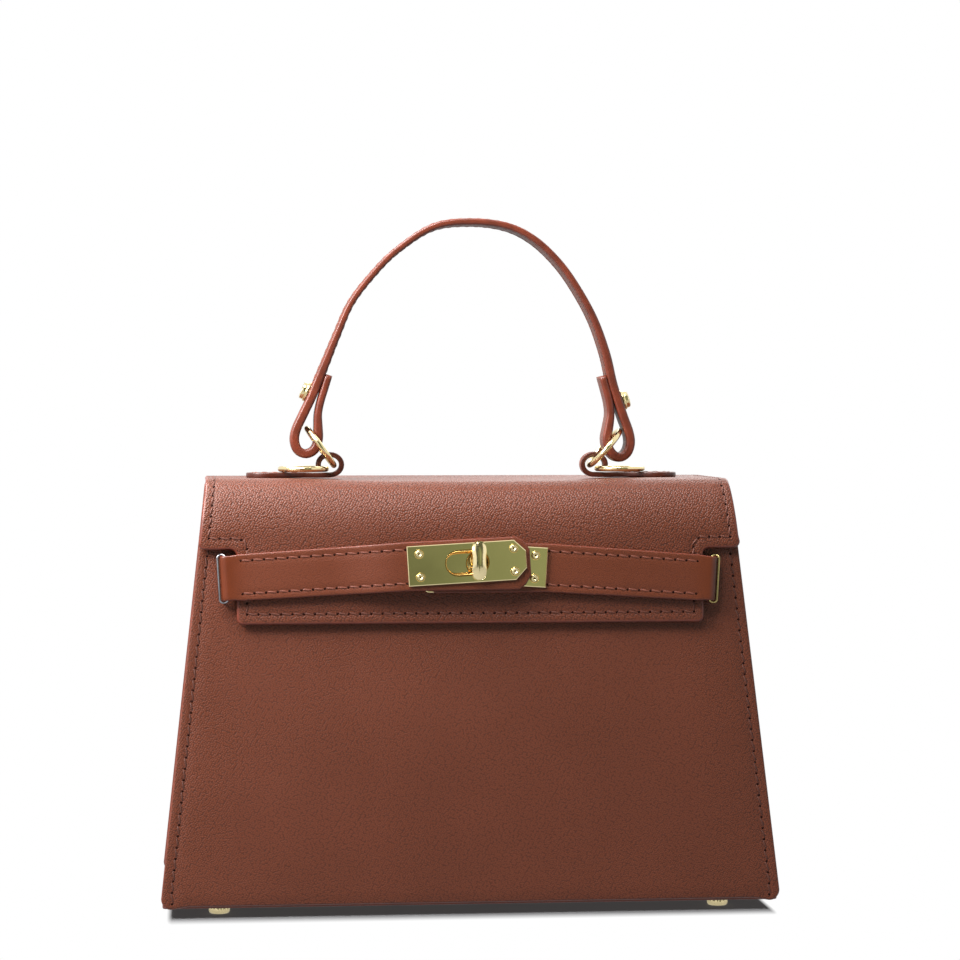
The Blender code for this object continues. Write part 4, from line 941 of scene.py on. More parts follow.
def leather(name="grained_leather", tone=1.0, cell=None, depth=1.0, smooth=None):
    """Fine pressed grain: rounded pebbles with a painted highlight on their tops, between small dark pits.

    Where smooth is given, as x where it ends, x where it is full and a weight, the leather
    is drawn smooth there, warmer and with little grain left.
    """
    looks = settings()
    material, n = material_named(name)
    if not n:
        return material
    colour = shaded(looks.leather_colour, tone)
    distance = pebbles(n, cell or looks.grain_size)
    vector = n.place()
    height = n.remap(distance, 0.18, 0.70, 1.0, 0.0)
    pits = n.math("MULTIPLY", n.remap(distance, 0.38, 0.66, 0.0, 1.0), 0.72 * depth)
    cloud = n.noise(vector, 18.0, 4.0)
    fine = n.noise(vector, 3200.0, 2.0)
    tinted = n.shades(n.spread(cloud), colour, 0.93, 1.08)
    # Painted highlight: the middle of each pebble is lightened, as if light catches its top
    highlit_pebbles = n.mix(n.remap(distance, 0.0, 0.42, 0.35 * depth, 0.0), tinted, shaded(colour, 1.45))
    rough = n.spread(cloud, looks.leather_roughness - 0.03, looks.leather_roughness + 0.04)
    if smooth:
        ends, full, weight = smooth
        place = n.add("ShaderNodeSeparateXYZ")
        n.link(vector, place.inputs[0])
        drawn = n.math("POWER", n.remap(place.outputs["X"], ends, full, 0.0, 1.0), 1.5)
        warm = n.shades(n.spread(n.noise(vector, 140.0, 4.0)), looks.wrap_colour, 0.85, 1.15)
        highlit_pebbles = n.mix(n.math("MULTIPLY", drawn, weight), highlit_pebbles, warm)
        left = n.math("SUBTRACT", 1.0, drawn)
        pits, height = n.math("MULTIPLY", pits, left), n.math("MULTIPLY", height, left)
        rough = n.math("SUBTRACT", rough, n.math("MULTIPLY", drawn, 0.08))
    pitted = n.mix(pits, highlit_pebbles, shaded(colour, 0.30))
    normal = n.bump(height, 0.60 * depth, 0.00025)
    normal = n.bump(fine, 0.10, 0.00005, normal)
    n.put(n.shader, Specular_IOR_Level=0.42)
    n.finish(pitted, n.math("ADD", rough, n.math("MULTIPLY", pits, 0.22)), normal)
    return material


def edge_paint(name="edge_paint", tone=1.0):
    """Glossy resin painted over the cut edges, slightly uneven."""
    looks = settings()
    material, n = material_named(name)
    if not n:
        return material
    vector = n.place()
    cloud = n.noise(vector, 160.0, 3.0)
    tinted = n.shades(n.spread(cloud), looks.edge_colour, 0.75 * tone, 1.2 * tone)
    n.finish(tinted, n.spread(n.noise(vector, 700.0), 0.30, 0.44), n.bump(cloud, 0.25, 0.0002))
    n.put(n.shader, Coat_Weight=0.15, Coat_Roughness=0.25)
    return material


def split_leather():
    """Matt fibrous back of the leather."""
    looks = settings()
    material, n = material_named("split_leather")
    if not n:
        return material
    vector = n.place()
    fibres = n.noise(vector, 900.0, 6.0, 0.7)
    colour = shaded(looks.leather_colour, 1.1)
    tinted = n.shades(n.spread(fibres), colour, 0.7, 1.4)
    n.finish(tinted, 0.85, n.bump(fibres, 0.4, 0.0002))
    n.put(n.shader, Sheen_Weight=0.2)
    return material


def thread(name="waxed_thread", tone=1.0):
    """Waxed two-ply thread."""
    looks = settings()
    material, n = material_named(name)
    if not n:
        return material
    vector = n.place()
    ply = n.add("ShaderNodeTexWave", wave_type="BANDS", bands_direction="DIAGONAL")
    n.put(ply, Scale=900.0, Distortion=0.6)
    n.link(vector, ply.inputs["Vector"])
    tinted = n.shades(ply.outputs["Fac"], looks.thread_colour, 0.6 * tone, tone)
    n.finish(tinted, n.remap(ply.outputs["Fac"], 0, 1, 0.60, 0.45), n.bump(ply.outputs["Fac"], 0.4, 0.00015))
    return material


def needle_hole_shade():
    """Dark inside of a needle hole: painted shade."""
    material, n = material_named("needle_hole_shade")
    if not n:
        return material
    cloud = n.noise(n.place(), 1500.0)
    n.finish(n.mix(cloud, (0.012, 0.003, 0.002), (0.030, 0.008, 0.005)), 0.9)
    n.put(n.shader, Specular_IOR_Level=0.1)
    return material


def woven_lining(name="woven_lining", tone=1.0):
    """Plain weave cotton lining."""
    looks = settings()
    material, n = material_named(name)
    if not n:
        return material
    vector = n.place()
    weave = []
    for direction in ("X", "Z"):
        wave = n.add("ShaderNodeTexWave", wave_type="BANDS", bands_direction=direction)
        n.put(wave, Scale=420.0, Distortion=0.4, Detail=1.0)
        n.link(vector, wave.inputs["Vector"])
        weave.append(wave.outputs["Fac"])
    threads = n.math("MAXIMUM", *weave)
    colour = shaded(looks.lining_colour, tone)
    tinted = n.shades(n.math("MULTIPLY", threads, 0.8), colour, 0.6, 1.15)
    cloud = n.spread(n.noise(vector, 18.0, 4.0), 0.85, 1.1)
    shade = n.add("ShaderNodeVectorMath", operation="SCALE")
    n.link(tinted, shade.inputs[0])
    n.link(cloud, shade.inputs["Scale"])
    n.finish(shade.outputs[0], 0.88, n.bump(threads, 0.5, 0.00018))
    n.put(n.shader, Sheen_Weight=0.15)
    return material


def fibre_board():
    """Stiff board inside the base."""
    material, n = material_named("fibre_board")
    if not n:
        return material
    fibres = n.noise(n.place((1, 1, 6)), 500.0, 6.0, 0.7)
    n.finish(n.mix(fibres, (0.16, 0.12, 0.08), (0.42, 0.34, 0.24)), 0.9, n.bump(fibres, 0.4, 0.0002))
    return material


def plated_metal(name, colour, rough=0.12, grain=(1, 1, 1)):
    """Polished plated metal with hairline wear."""
    material, n = material_named(name)
    if not n:
        return material
    hair = n.noise(n.place(grain), 900.0, 4.0, 0.6)
    cloud = n.noise(n.place(), 60.0, 3.0)
    tinted = n.shades(n.spread(cloud), colour, 0.93, 1.04)
    n.put(n.shader, Metallic=1.0)
    n.finish(tinted, n.remap(n.math("MULTIPLY", hair, cloud), 0.1, 0.5, rough, rough + 0.12),
             n.bump(hair, 0.03, 0.00004))
    return material


def gold(name="plated_gold", rough=0.12, grain=(1, 1, 1)):
    return plated_metal(name, tuple(settings().metal_colour), rough, grain)


def steel():
    """Plain plated steel of the hidden fittings."""
    return plated_metal("nickel_steel", (0.56, 0.55, 0.52), rough=0.28)


def painted_recess_shade():
    """Dark middle of a rivet: painted shade in its hollow."""
    material, n = material_named("painted_recess_shade")
    if not n:
        return material
    cloud = n.noise(n.place(), 2000.0)
    n.put(n.shader, Metallic=1.0)
    n.finish(n.mix(cloud, (0.05, 0.035, 0.01), (0.16, 0.11, 0.04)), 0.5)
    return material


def leather_layers(face=None, edge=None):
    """Face, painted edge and back of a leather piece."""
    return [face or leather(), edge or edge_paint(), split_leather()]


class LeatherBagSettings(bpy.types.PropertyGroup):
    """Colours and sizes that the builders read"""
    leather_colour: FloatVectorProperty(
        name="Leather", description="Colour of the grained leather", subtype="COLOR",
        default=(0.153, 0.036, 0.0145), min=0, max=1)
    leather_roughness: FloatProperty(
        name="Leather roughness", description="Roughness of the leather's pebbles", default=0.38, min=0.1, max=1)
    grain_size: FloatProperty(
        name="Grain", description="Size of one pebble of the grain", subtype="DISTANCE", unit="LENGTH",
        default=0.00108, min=0.0003, max=0.01)
    edge_colour: FloatVectorProperty(
        name="Edge paint", description="Colour of the painted edges", subtype="COLOR",
        default=(0.190, 0.036, 0.016), min=0, max=1)
    wrap_colour: FloatVectorProperty(
        name="Strap ends", description="Colour of the smooth leather round the wire loops", subtype="COLOR",
        default=(0.130, 0.022, 0.003), min=0, max=1)
    thread_colour: FloatVectorProperty(
        name="Thread", description="Colour of the thread", subtype="COLOR",
        default=(0.240, 0.066, 0.036), min=0, max=1)
    lining_colour: FloatVectorProperty(
        name="Lining", description="Colour of the woven lining", subtype="COLOR",
        default=(0.28, 0.20, 0.14), min=0, max=1)
    metal_colour: FloatVectorProperty(
        name="Metal", description="Colour of the gold plating", subtype="COLOR",
        default=(0.920, 0.780, 0.440), min=0, max=1)
    stitch_pitch: FloatProperty(
        name="Stitch", description="Distance from one needle hole to the next", subtype="DISTANCE", unit="LENGTH",
        default=0.0051, min=0.002, max=0.02)
    light_level: FloatProperty(
        name="Light", description="Share of the studio light's plain level", subtype="FACTOR",
        default=1.0, min=0, max=2)


def settings():
    """The settings kept with the scene."""
    return bpy.context.scene.leather_bag


def add_piece(name, mesh, materials, body, nodes=()):
    """Show a mesh as a piece that rides on a body and stands for the given nodes."""
    piece = bpy.data.objects.new(name, mesh)
    bpy.context.scene.collection.objects.link(piece)
    for material in materials:
        mesh.materials.append(material)
    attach(piece, body)
    if nodes:
        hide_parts(*nodes)
    return piece


def crown(u, v):
    """Soft outward curve of the front and back below the flap, with a little unevenness."""
    across = max(0, 1 - (u / CROWN_REACH) ** 2)
    up = max(0, math.sin(math.pi * min(max(v / FRONT_FOOT, 0), 1)))
    wave = noise.noise(Vector((u * CROWN_WAVE_SCALE, v * CROWN_WAVE_SCALE, 3))) * CROWN_WAVE_HEIGHT * across * up
    return CROWN_HEIGHT * across * up ** 1.5 + wave


def front_place(u, v, height):
    """Point of the front, skived thin towards its top edge, where the flap folds over it."""
    skived = WALL_SKIVED * ease((v - SLOPE_HEIGHT + WALL_SKIVED_OVER) / WALL_SKIVED_OVER)
    return FRONT @ Vector((u, v, height * (1 - skived / PANEL_THICKNESS) - skived + crown(u, v)))


def back_place(u, v, height):
    """Point of the back."""
    return BACK @ Vector((u, v, height + crown(u, v)))


def wall_outline():
    """Outline of the front or back on its slope, with round lower corners."""
    radius = PANEL_CORNER_RADIUS
    foot, top = slope_half_width(0), slope_half_width(SLOPE_HEIGHT)
    lower = [(foot - 2.4 * radius, WALL_LIFT)]
    lower += [(x, max(y, 0.0002)) for x, y in arc((foot - radius, radius), radius, -90, 0)]
    left = [(-x, y) for x, y in reversed(lower)]
    return lower + [(top, SLOPE_HEIGHT), (-top, SLOPE_HEIGHT)] + left


def side_seam_line(sign):
    """Seam that sews the front or back to a side wall."""
    def point(height, inset=SEAM_INSET):
        return (sign * (slope_half_width(height) - inset), height)
    return [point(SEAM_FOOT, SEAM_FOOT_INSET), point(0.008), point(SLOPE_HEIGHT - SEAM_HEAD_DROP)]


class BAG_OT_walls(bpy.types.Operator):
    """Build the front and the back of the bag"""
    bl_idname = "leather_bag.walls"
    bl_label = "Front and Back"

    def execute(self, context):
        for end, place in (("front", front_place), ("back", back_place)):
            name = f"{end}_wall"
            lines = [side_seam_line(-1), side_seam_line(1)]
            relief = groove(lines)
            mesh = sheet_mesh(name, wall_outline(), place, PANEL_THICKNESS, PANEL_ROUNDING, spacing=0.0045,
                              lines=lines, relief=relief)
            add_piece(name, mesh, leather_layers(leather(*WALL_LEATHER)), "bag_body", [f"{end}_panel"])
            rows = [(line, with_relief(place, relief), WALL_SLANT) for line in lines]
            add_seam(f"{name}_seams", rows, "bag_body", thread("wall_thread", tone=0.5))
        return {"FINISHED"}


def side_line(z):
    """Middle of the right side wall's leather seen from above, from the front seam to its fold."""
    fold = gusset_fold(z)
    edge = half_width_at(z) - CLEARANCE
    wall = edge - SEAM_FLANGE
    depth = inner_half_depth(z)
    half = GUSSET_THICKNESS / 2
    lip = depth - half
    return [
        (edge, lip), (wall + 0.0012, lip), (wall - half * 0.6, lip - 0.0004), (wall - half - 0.0001, lip - 0.0016),
        (wall - half - fold * 0.07, depth * 0.80),
        (wall - half - fold * FOLD_SHOULDER_SHARE, depth / 2),
        (wall - half - fold * 0.62, depth * 0.20), (wall - half - fold * 0.97, depth * 0.02), (wall - half - fold, 0),
    ]


def side_section(z, sign):
    """Closed section of a side wall: outer face and inner face joined by round edges."""
    half = side_line(z)
    whole = [(x, -y) for x, y in half] + [(x, y) for x, y in reversed(half[:-1])]
    line = [Vector((p.x, p.y)) for p in smooth_line([(x, y, 0) for x, y in whole], 3)]
    outer, inner = [], []
    for i, point in enumerate(line):
        run = (line[min(i + 1, len(line) - 1)] - line[max(i - 1, 0)]).normalized()
        away = Vector((run.y, -run.x)) * GUSSET_THICKNESS / 2
        outer.append(point + away)
        inner.append(point - away)
    return [(sign * p.x, p.y, z) for p in outer + inner[::-1]]


class BAG_OT_sides(bpy.types.Operator):
    """Build the folded side walls and their seams"""
    bl_idname = "leather_bag.sides"
    bl_label = "Side Walls"

    def execute(self, context):
        levels = spaced(BOARD_BOTTOM, WALL_TOP - CLEARANCE, 28)
        for label, sign in SIDES:
            sections = [side_section(z, sign) for z in levels]
            mesh = loft_mesh(f"side_wall_{label}", sections, sharp=60)
            add_piece(f"side_wall_{label}", mesh, [leather()], "bag_body", [f"gusset_{label}"])
            line = [(half_width_at(z) - FLANGE_SEAM_INSET, z) for z in spaced(0.012, WALL_TOP - 0.003, 4)]
            rows = []
            for end in (-1, 1):
                def surface(u, z, height, end=end):
                    return Vector((sign * u, end * (inner_half_depth(z) - GUSSET_THICKNESS - height), z))
                rows.append((line, surface, FLANGE_SLANT * end * sign))
            add_seam(f"side_seams_{label}", rows, "bag_body")
        return {"FINISHED"}


class BAG_OT_base(bpy.types.Operator):
    """Build the base with its feet"""
    bl_idname = "leather_bag.base"
    bl_label = "Base and Feet"

    def execute(self, context):
        width = half_width_at(BASE_TOP) - CLEARANCE
        outline = rounded_rectangle(width, inner_half_depth(BASE_TOP), BASE_CORNER_RADIUS, steps=3)

        def place(u, v, height):
            return Vector((u, -v, BASE_BOTTOM - height))
        mesh = sheet_mesh("base", outline, place, BASE_TOP - BASE_BOTTOM, rounding=0.0006, spacing=0.0060)
        add_piece("base", mesh, leather_layers(), "bag_body", ["base_panel"])
        foot = turned_mesh("foot", FOOT_PROFILE, facets=72, flutes=18, flute_depth=0.00035, fluted=(4, 5), sharp=50)
        for label, side in SIDES:
            for end, row in (("front", -1), ("rear", 1)):
                node = f"foot_{end}_{label}"
                spot = Matrix.Translation((side * FOOT_X, row * FOOT_Y, 0))
                mesh = joined_mesh(node + "_cap", [(foot, spot)], 50)
                add_piece(node + "_cap", mesh, [gold("foot_gold", rough=0.16)], "bag_body", [node])
        return {"FINISHED"}


def lining_section(z, inset):
    """Closed outline of one face of the lining at one height, slightly rumpled."""
    fold = gusset_fold(z)
    wall = half_width_at(z) - CLEARANCE - SEAM_FLANGE - GUSSET_THICKNESS - LINING_STANDOFF - inset
    depth = half_depth_at(z) - (PANEL_THICKNESS + LINING_STANDOFF + inset) / math.cos(LEAN)
    corner = LINING_CORNER
    half = [(wall - corner, depth), (wall - 0.0006, depth - corner * 0.5)]
    half += [(wall - fold * s, depth * (1 - t)) for s, t in ((0.08, 0.25), (0.25, 0.5), (0.6, 0.8), (0.96, 0.98))]
    half.append((wall - fold, 0))
    right = half + [(x, -y) for x, y in reversed(half[:-1])]
    front = [(x, -depth) for x in spaced(wall - corner, -(wall - corner), 40)[1:-1]]
    left = [(-x, y) for x, y in reversed(right)]
    back = [(x, depth) for x in spaced(-(wall - corner), wall - corner, 40)[1:-1]]
    points = []
    for x, y in right + front + left + back:
        rumple = noise.noise(Vector((x * 30, y * 30, z * 24))) * RUMPLE_HEIGHT
        points.append((x, y + (rumple if y > 0 else -rumple) * (abs(y) / depth) ** 4, z))
    return points


class BAG_OT_inside(bpy.types.Operator):
    """Build the lining and the pocket, and finish the board and washers"""
    bl_idname = "leather_bag.inside"
    bl_label = "Inside"

    def execute(self, context):
        outer = [(z, 0) for z in spaced(LINING_BOTTOM, LINING_TOP, 24)]
        inner = [(z, LINING_THICKNESS) for z in spaced(LINING_TOP, LINING_BOTTOM + LINING_THICKNESS, 24)]
        sections = [lining_section(z, inset) for z, inset in outer + inner]
        add_piece("lining_bag", loft_mesh("lining_bag", sections, sharp=70), [woven_lining()],
                  "bag_body", ["lining"])
        inside = PANEL_THICKNESS + LINING_STANDOFF + LINING_THICKNESS + CLEARANCE + POCKET_THICKNESS
        high = SLOPE_HEIGHT - POCKET_TOP_DROP
        low = high - POCKET_DEPTH
        corners = rounded_rectangle(POCKET_HALF_WIDTH, POCKET_DEPTH / 2, POCKET_CORNER_RADIUS)
        outline = [(x, y + (low + high) / 2) for x, y in corners]
        end, side = POCKET_HALF_WIDTH - 0.002, POCKET_HALF_WIDTH - 0.003
        lines = [[(-end, high - POCKET_HEM), (end, high - POCKET_HEM)]]
        lines += [[(x, high - 0.004), (x, low + 0.003)] for x in (-side, side)]
        relief = groove(lines, depth=0.0003, width=0.0012)

        def place(u, v, height):
            return BACK @ Vector((-u, v, -inside - height))
        mesh = sheet_mesh("pocket", outline, place, POCKET_THICKNESS, rounding=0.0004, spacing=0.0060,
                          lines=lines, relief=relief)
        weave = woven_lining("pocket_weave", tone=0.9)
        add_piece("pocket", mesh, [weave] * 3, "bag_body", ["inner_pocket"])
        surface = with_relief(place, relief)
        add_seam("pocket_seams", [(line, surface, 0) for line in lines], "bag_body")
        dress("base_board", fibre_board())
        hidden = [f"foot_washer_{end}_{side}" for end in ("front", "rear") for side in ("left", "right")]
        for node in hidden + ["loop_back_plate_left", "loop_back_plate_right", "lock_clip"]:
            dress(node, steel())
        return {"FINISHED"}


def dress(node, material):
    """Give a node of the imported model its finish."""
    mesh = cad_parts[node].data
    for i in range(len(mesh.materials)):
        mesh.materials[i] = material


# Places on the flap's outer face
FLAP_FOOT = FRONT @ Vector((0, FRONT_FOOT, FLAP_OUTSIDE))
FLAP_UP = (FRONT.to_3x3() @ Vector((0, 1, 0))).normalized()
FLAP_OUT = (FRONT.to_3x3() @ Vector((0, 0, 1))).normalized()
FLAP_BEND = FLAP_FOOT + FLAP_UP * ((BAG_TOP - FLAP_FOOT.z) / FLAP_UP.z - FLAP_FOLD_DROP)
FLAP_CENTRE = FLAP_BEND + Vector((0, FLAP_FOLD_DEPTH, 0))


def fold_point(angle):
    """Point and outward direction of the flap's soft fold, from its front slope to its top."""
    c, d = math.cos(angle), math.sin(angle)
    point = FLAP_CENTRE + Vector((0, -FLAP_FOLD_DEPTH * c, 0)) + FLAP_UP * (FLAP_FOLD_DROP * d)
    run = Vector((0, FLAP_FOLD_DEPTH * d, 0)) + FLAP_UP * (FLAP_FOLD_DROP * c)
    return point, Vector((0, -run.z, run.y)).normalized()


FOLD_ANGLES = spaced(0, math.pi / 2, FOLD_STEPS)
FOLD_LENGTHS = run_lengths([fold_point(angle)[0] for angle in FOLD_ANGLES])
FOLD_LENGTH = FOLD_LENGTHS[-1]
DECK_LENGTH = HINGE_Y - fold_point(math.pi / 2)[0].y
SLOPE_START = DECK_LENGTH + FOLD_LENGTH


def flap_dish(u, along):
    """Small settling of the flap's top between the tabs."""
    share = min(max(along / (DECK_LENGTH + FOLD_LENGTH * 0.6), 0), 1)
    if share in (0, 1):
        return 0
    return -DISH_DEPTH * math.exp(-((u / DISH_REACH) ** 4)) * math.sin(math.pi * share) ** 0.7


def flap_place(u, v, height):
    """Point of the flap: u across, v along its outer face from the front edge's line backwards."""
    along = SLOPE_START - v
    height += flap_dish(u, along)
    if along < DECK_LENGTH:
        return Vector((u, HINGE_Y - along, BAG_TOP + height))
    if along < SLOPE_START:
        point, outward = fold_point(float(np.interp(v, FOLD_LENGTHS, FOLD_ANGLES)))
        point = point + outward * height
        return Vector((u, point.y, point.z))
    point = FLAP_BEND - FLAP_UP * (along - SLOPE_START) + FLAP_OUT * height
    return Vector((u, point.y, point.z))


def flap_v(z):
    """Place along the flap's front slope of a height, for use in its outlines."""
    return -(FLAP_BEND.z - z) / FLAP_UP.z


def flap_half_width(v):
    """Half width of the flap, which widens downwards like the walls."""
    z = flap_place(0.2, v, 0).z
    return FLAP_TOP_HALF_WIDTH + (EAR_HALF_WIDTH - FLAP_TOP_HALF_WIDTH) * (BAG_TOP - z) / EAR_DROP


def flap_outline(inset):
    """Outline of the flap: long front, notches, ears and straight back edge."""
    ear_v = flap_v(BAG_TOP - EAR_DROP) + inset
    ear_x = EAR_HALF_WIDTH - inset
    front_x = FLAP_FRONT_HALF_WIDTH - inset
    low = flap_v(BAG_TOP - FLAP_FRONT_DROP) + inset
    radius = FLAP_CORNER_RADIUS
    right = arc((front_x - radius, low + radius), radius, -90, 0, 5)
    right += arc((front_x + NOTCH_RADIUS, ear_v - NOTCH_RADIUS), NOTCH_RADIUS, 180, 90, 6)
    right += arc((ear_x - EAR_CORNER_RADIUS, ear_v + EAR_CORNER_RADIUS), EAR_CORNER_RADIUS, -90, 0, 6)
    right += [(flap_half_width(v) - inset, v) for v in spaced(ear_v + 2 * EAR_CORNER_RADIUS, SLOPE_START, 16)]
    return right + [(-x, v) for x, v in reversed(right)]


def flap_seam_line():
    """Seam that follows the flap's edge from the back of one side to the back of the other."""
    ear_v = flap_v(BAG_TOP - EAR_DROP) + EAR_SEAM_INSET
    low = flap_v(BAG_TOP - FLAP_FRONT_DROP) + FLAP_SEAM_INSET
    front_x = FLAP_FRONT_HALF_WIDTH - FLAP_SEAM_INSET
    radius = FLAP_SEAM_CORNER
    right = [(flap_half_width(v) - SEAM_INSET, v) for v in spaced(SLOPE_START - 0.004, ear_v + 0.0001, 12)]
    right += arc((front_x + radius, ear_v - radius), radius, 90, 180, 5)
    right += [(front_x, low)]
    return [(-x, v) for x, v in right] + [(x, v) for x, v in reversed(right)]


class BAG_OT_flap(bpy.types.Operator):
    """Build the flap, its lining, its seam and the band that it hangs on"""
    bl_idname = "leather_bag.flap"
    bl_label = "Flap"

    def execute(self, context):
        line = flap_seam_line()
        relief = groove([line])
        hole = circle((LOCK_X, flap_v(LOCK.translation.z)), LOCK_HOLE_RADIUS, facets=20)
        mesh = sheet_mesh("flap", flap_outline(0), flap_place, FLAP_THICKNESS, FLAP_ROUNDING, spacing=0.0030,
                          holes=[hole], lines=[line], relief=relief, painted=1)
        add_piece("flap", mesh, leather_layers(), "flap", ["flap_leather"])
        surface = with_relief(flap_place, relief)
        corners = [0] + [i for i in range(1, len(line) - 1) if sharp_corner(line, i)] + [len(line) - 1]
        rows = [(line[a:b + 1], surface, FLAP_SLANT) for a, b in zip(corners, corners[1:])]
        add_seam("flap_seam", rows, "flap", thread("flap_thread", tone=0.7))
        drop = FLAP_THICKNESS + CLEARANCE

        def under(u, v, height):
            return flap_place(u, v, height - drop)
        mesh = sheet_mesh("flap_underside", flap_outline(LINING_EDGE), under, FLAP_LINING_THICKNESS,
                          rounding=0.0003, spacing=0.0050)
        add_piece("flap_underside", mesh, [woven_lining()] * 3, "flap", ["flap_lining"])
        width = FLAP_TOP_HALF_WIDTH - 0.0006
        roll = tube_mesh("flap_roll", [(x, HINGE_Y, HINGE_Z) for x in spaced(-width, width, 40)], HINGE_RADIUS)
        add_piece("flap_roll", roll, [leather()], "flap")
        top = (HINGE_Z - HINGE_RADIUS - CLEARANCE - BASE_BOTTOM) / math.cos(LEAN)
        low, high = top - HINGE_BAND_HEIGHT, top - CLEARANCE
        sides = [slope_half_width(height) for height in (low, high)]
        outline = [(-sides[0], low), (sides[0], low), (sides[1], high), (-sides[1], high)]
        reach = sides[1] - SEAM_INSET
        lines = [[(-reach, v), (reach, v)] for v in (low + SEAM_INSET, high - SEAM_INSET)]
        relief = groove(lines)

        def band(u, v, height):
            return BACK @ Vector((u, v, CLEARANCE + FLAP_THICKNESS + height))
        mesh = sheet_mesh("back_band", outline, band, FLAP_THICKNESS, rounding=0.0008, spacing=0.0040,
                          lines=lines, relief=relief)
        add_piece("back_band", mesh, leather_layers(), "bag_body", ["hinge_band"])
        surface = with_relief(band, relief)
        add_seam("back_band_seams", [(row, surface, BAND_SLANT) for row in lines], "bag_body")
        return {"FINISHED"}


def sharp_corner(line, i):
    """Whether a line turns sharply at one of its points."""
    before = Vector(line[i]) - Vector(line[i - 1])
    after = Vector(line[i + 1]) - Vector(line[i])
    return before.angle(after) > math.radians(40)


def strap_place(side):
    """Function that puts u along a strap, v across it and a height on its outer face."""
    matrix = strap_matrix(side)
    layers = 1 if side < 0 else 0
    flat = PLATE_STARTS[side] - STRAP_TIP_LIP
    full_from = flat - STRAP_RISE_LENGTH
    flip = -side

    def thickness(u):
        share = min(max(u / full_from, 0), 1)
        return STRAP_WRAP_THICKNESS + share * (STRAP_THICKNESS - STRAP_WRAP_THICKNESS)

    def rise(u):
        return layers * STRAP_LAYER * ease((u - full_from) / STRAP_RISE_LENGTH)

    def place(u, v, height):
        height = max(height, -STRAP_THICKNESS) * (thickness(u) / STRAP_THICKNESS if height < 0 else 1)
        if u >= 0:
            slope = (rise(u + 0.0005) - rise(u - 0.0005)) / 0.001
            normal = Vector((-slope, 0, 1)).normalized()
            point = Vector((u, 0, STRAP_BORE + thickness(u) + rise(u))) + normal * height
        else:
            turn = min(-u / STRAP_WRAP, math.pi)
            angle = math.pi / 2 + turn
            reach = STRAP_WRAP + height
            past = max(-u - math.pi * STRAP_WRAP, 0)
            point = Vector((reach * math.cos(angle) + past, 0, reach * math.sin(angle)))
        return matrix @ Vector((point.x, v * flip, point.z))
    return place


def strap_lines(start):
    """Two seams of a strap, from its wrap to its plate."""
    first, last = (STRAP_HALF_WIDTH - inset for inset in STRAP_SEAM_INSETS)
    return [[(STRAP_SEAM_START, sign * first), (start - 0.0006, sign * last)] for sign in (-1, 1)]


def plate_mesh(name, outline, place, thickness, rounding, holes):
    """Thin metal plate with a narrow bevel round its face."""
    mesh = sheet_mesh(name, outline, place, thickness, rounding, spacing=0.0060, holes=holes, steps=1)
    mesh.set_sharp_from_angle(angle=math.radians(20))
    return mesh


def plate_metals():
    """Polished face, duller bevel and polished back of a plate."""
    metal = gold("plate_gold", rough=0.07, grain=(1, 1, 8))
    return [metal, gold("bevel_gold", rough=0.2), metal]


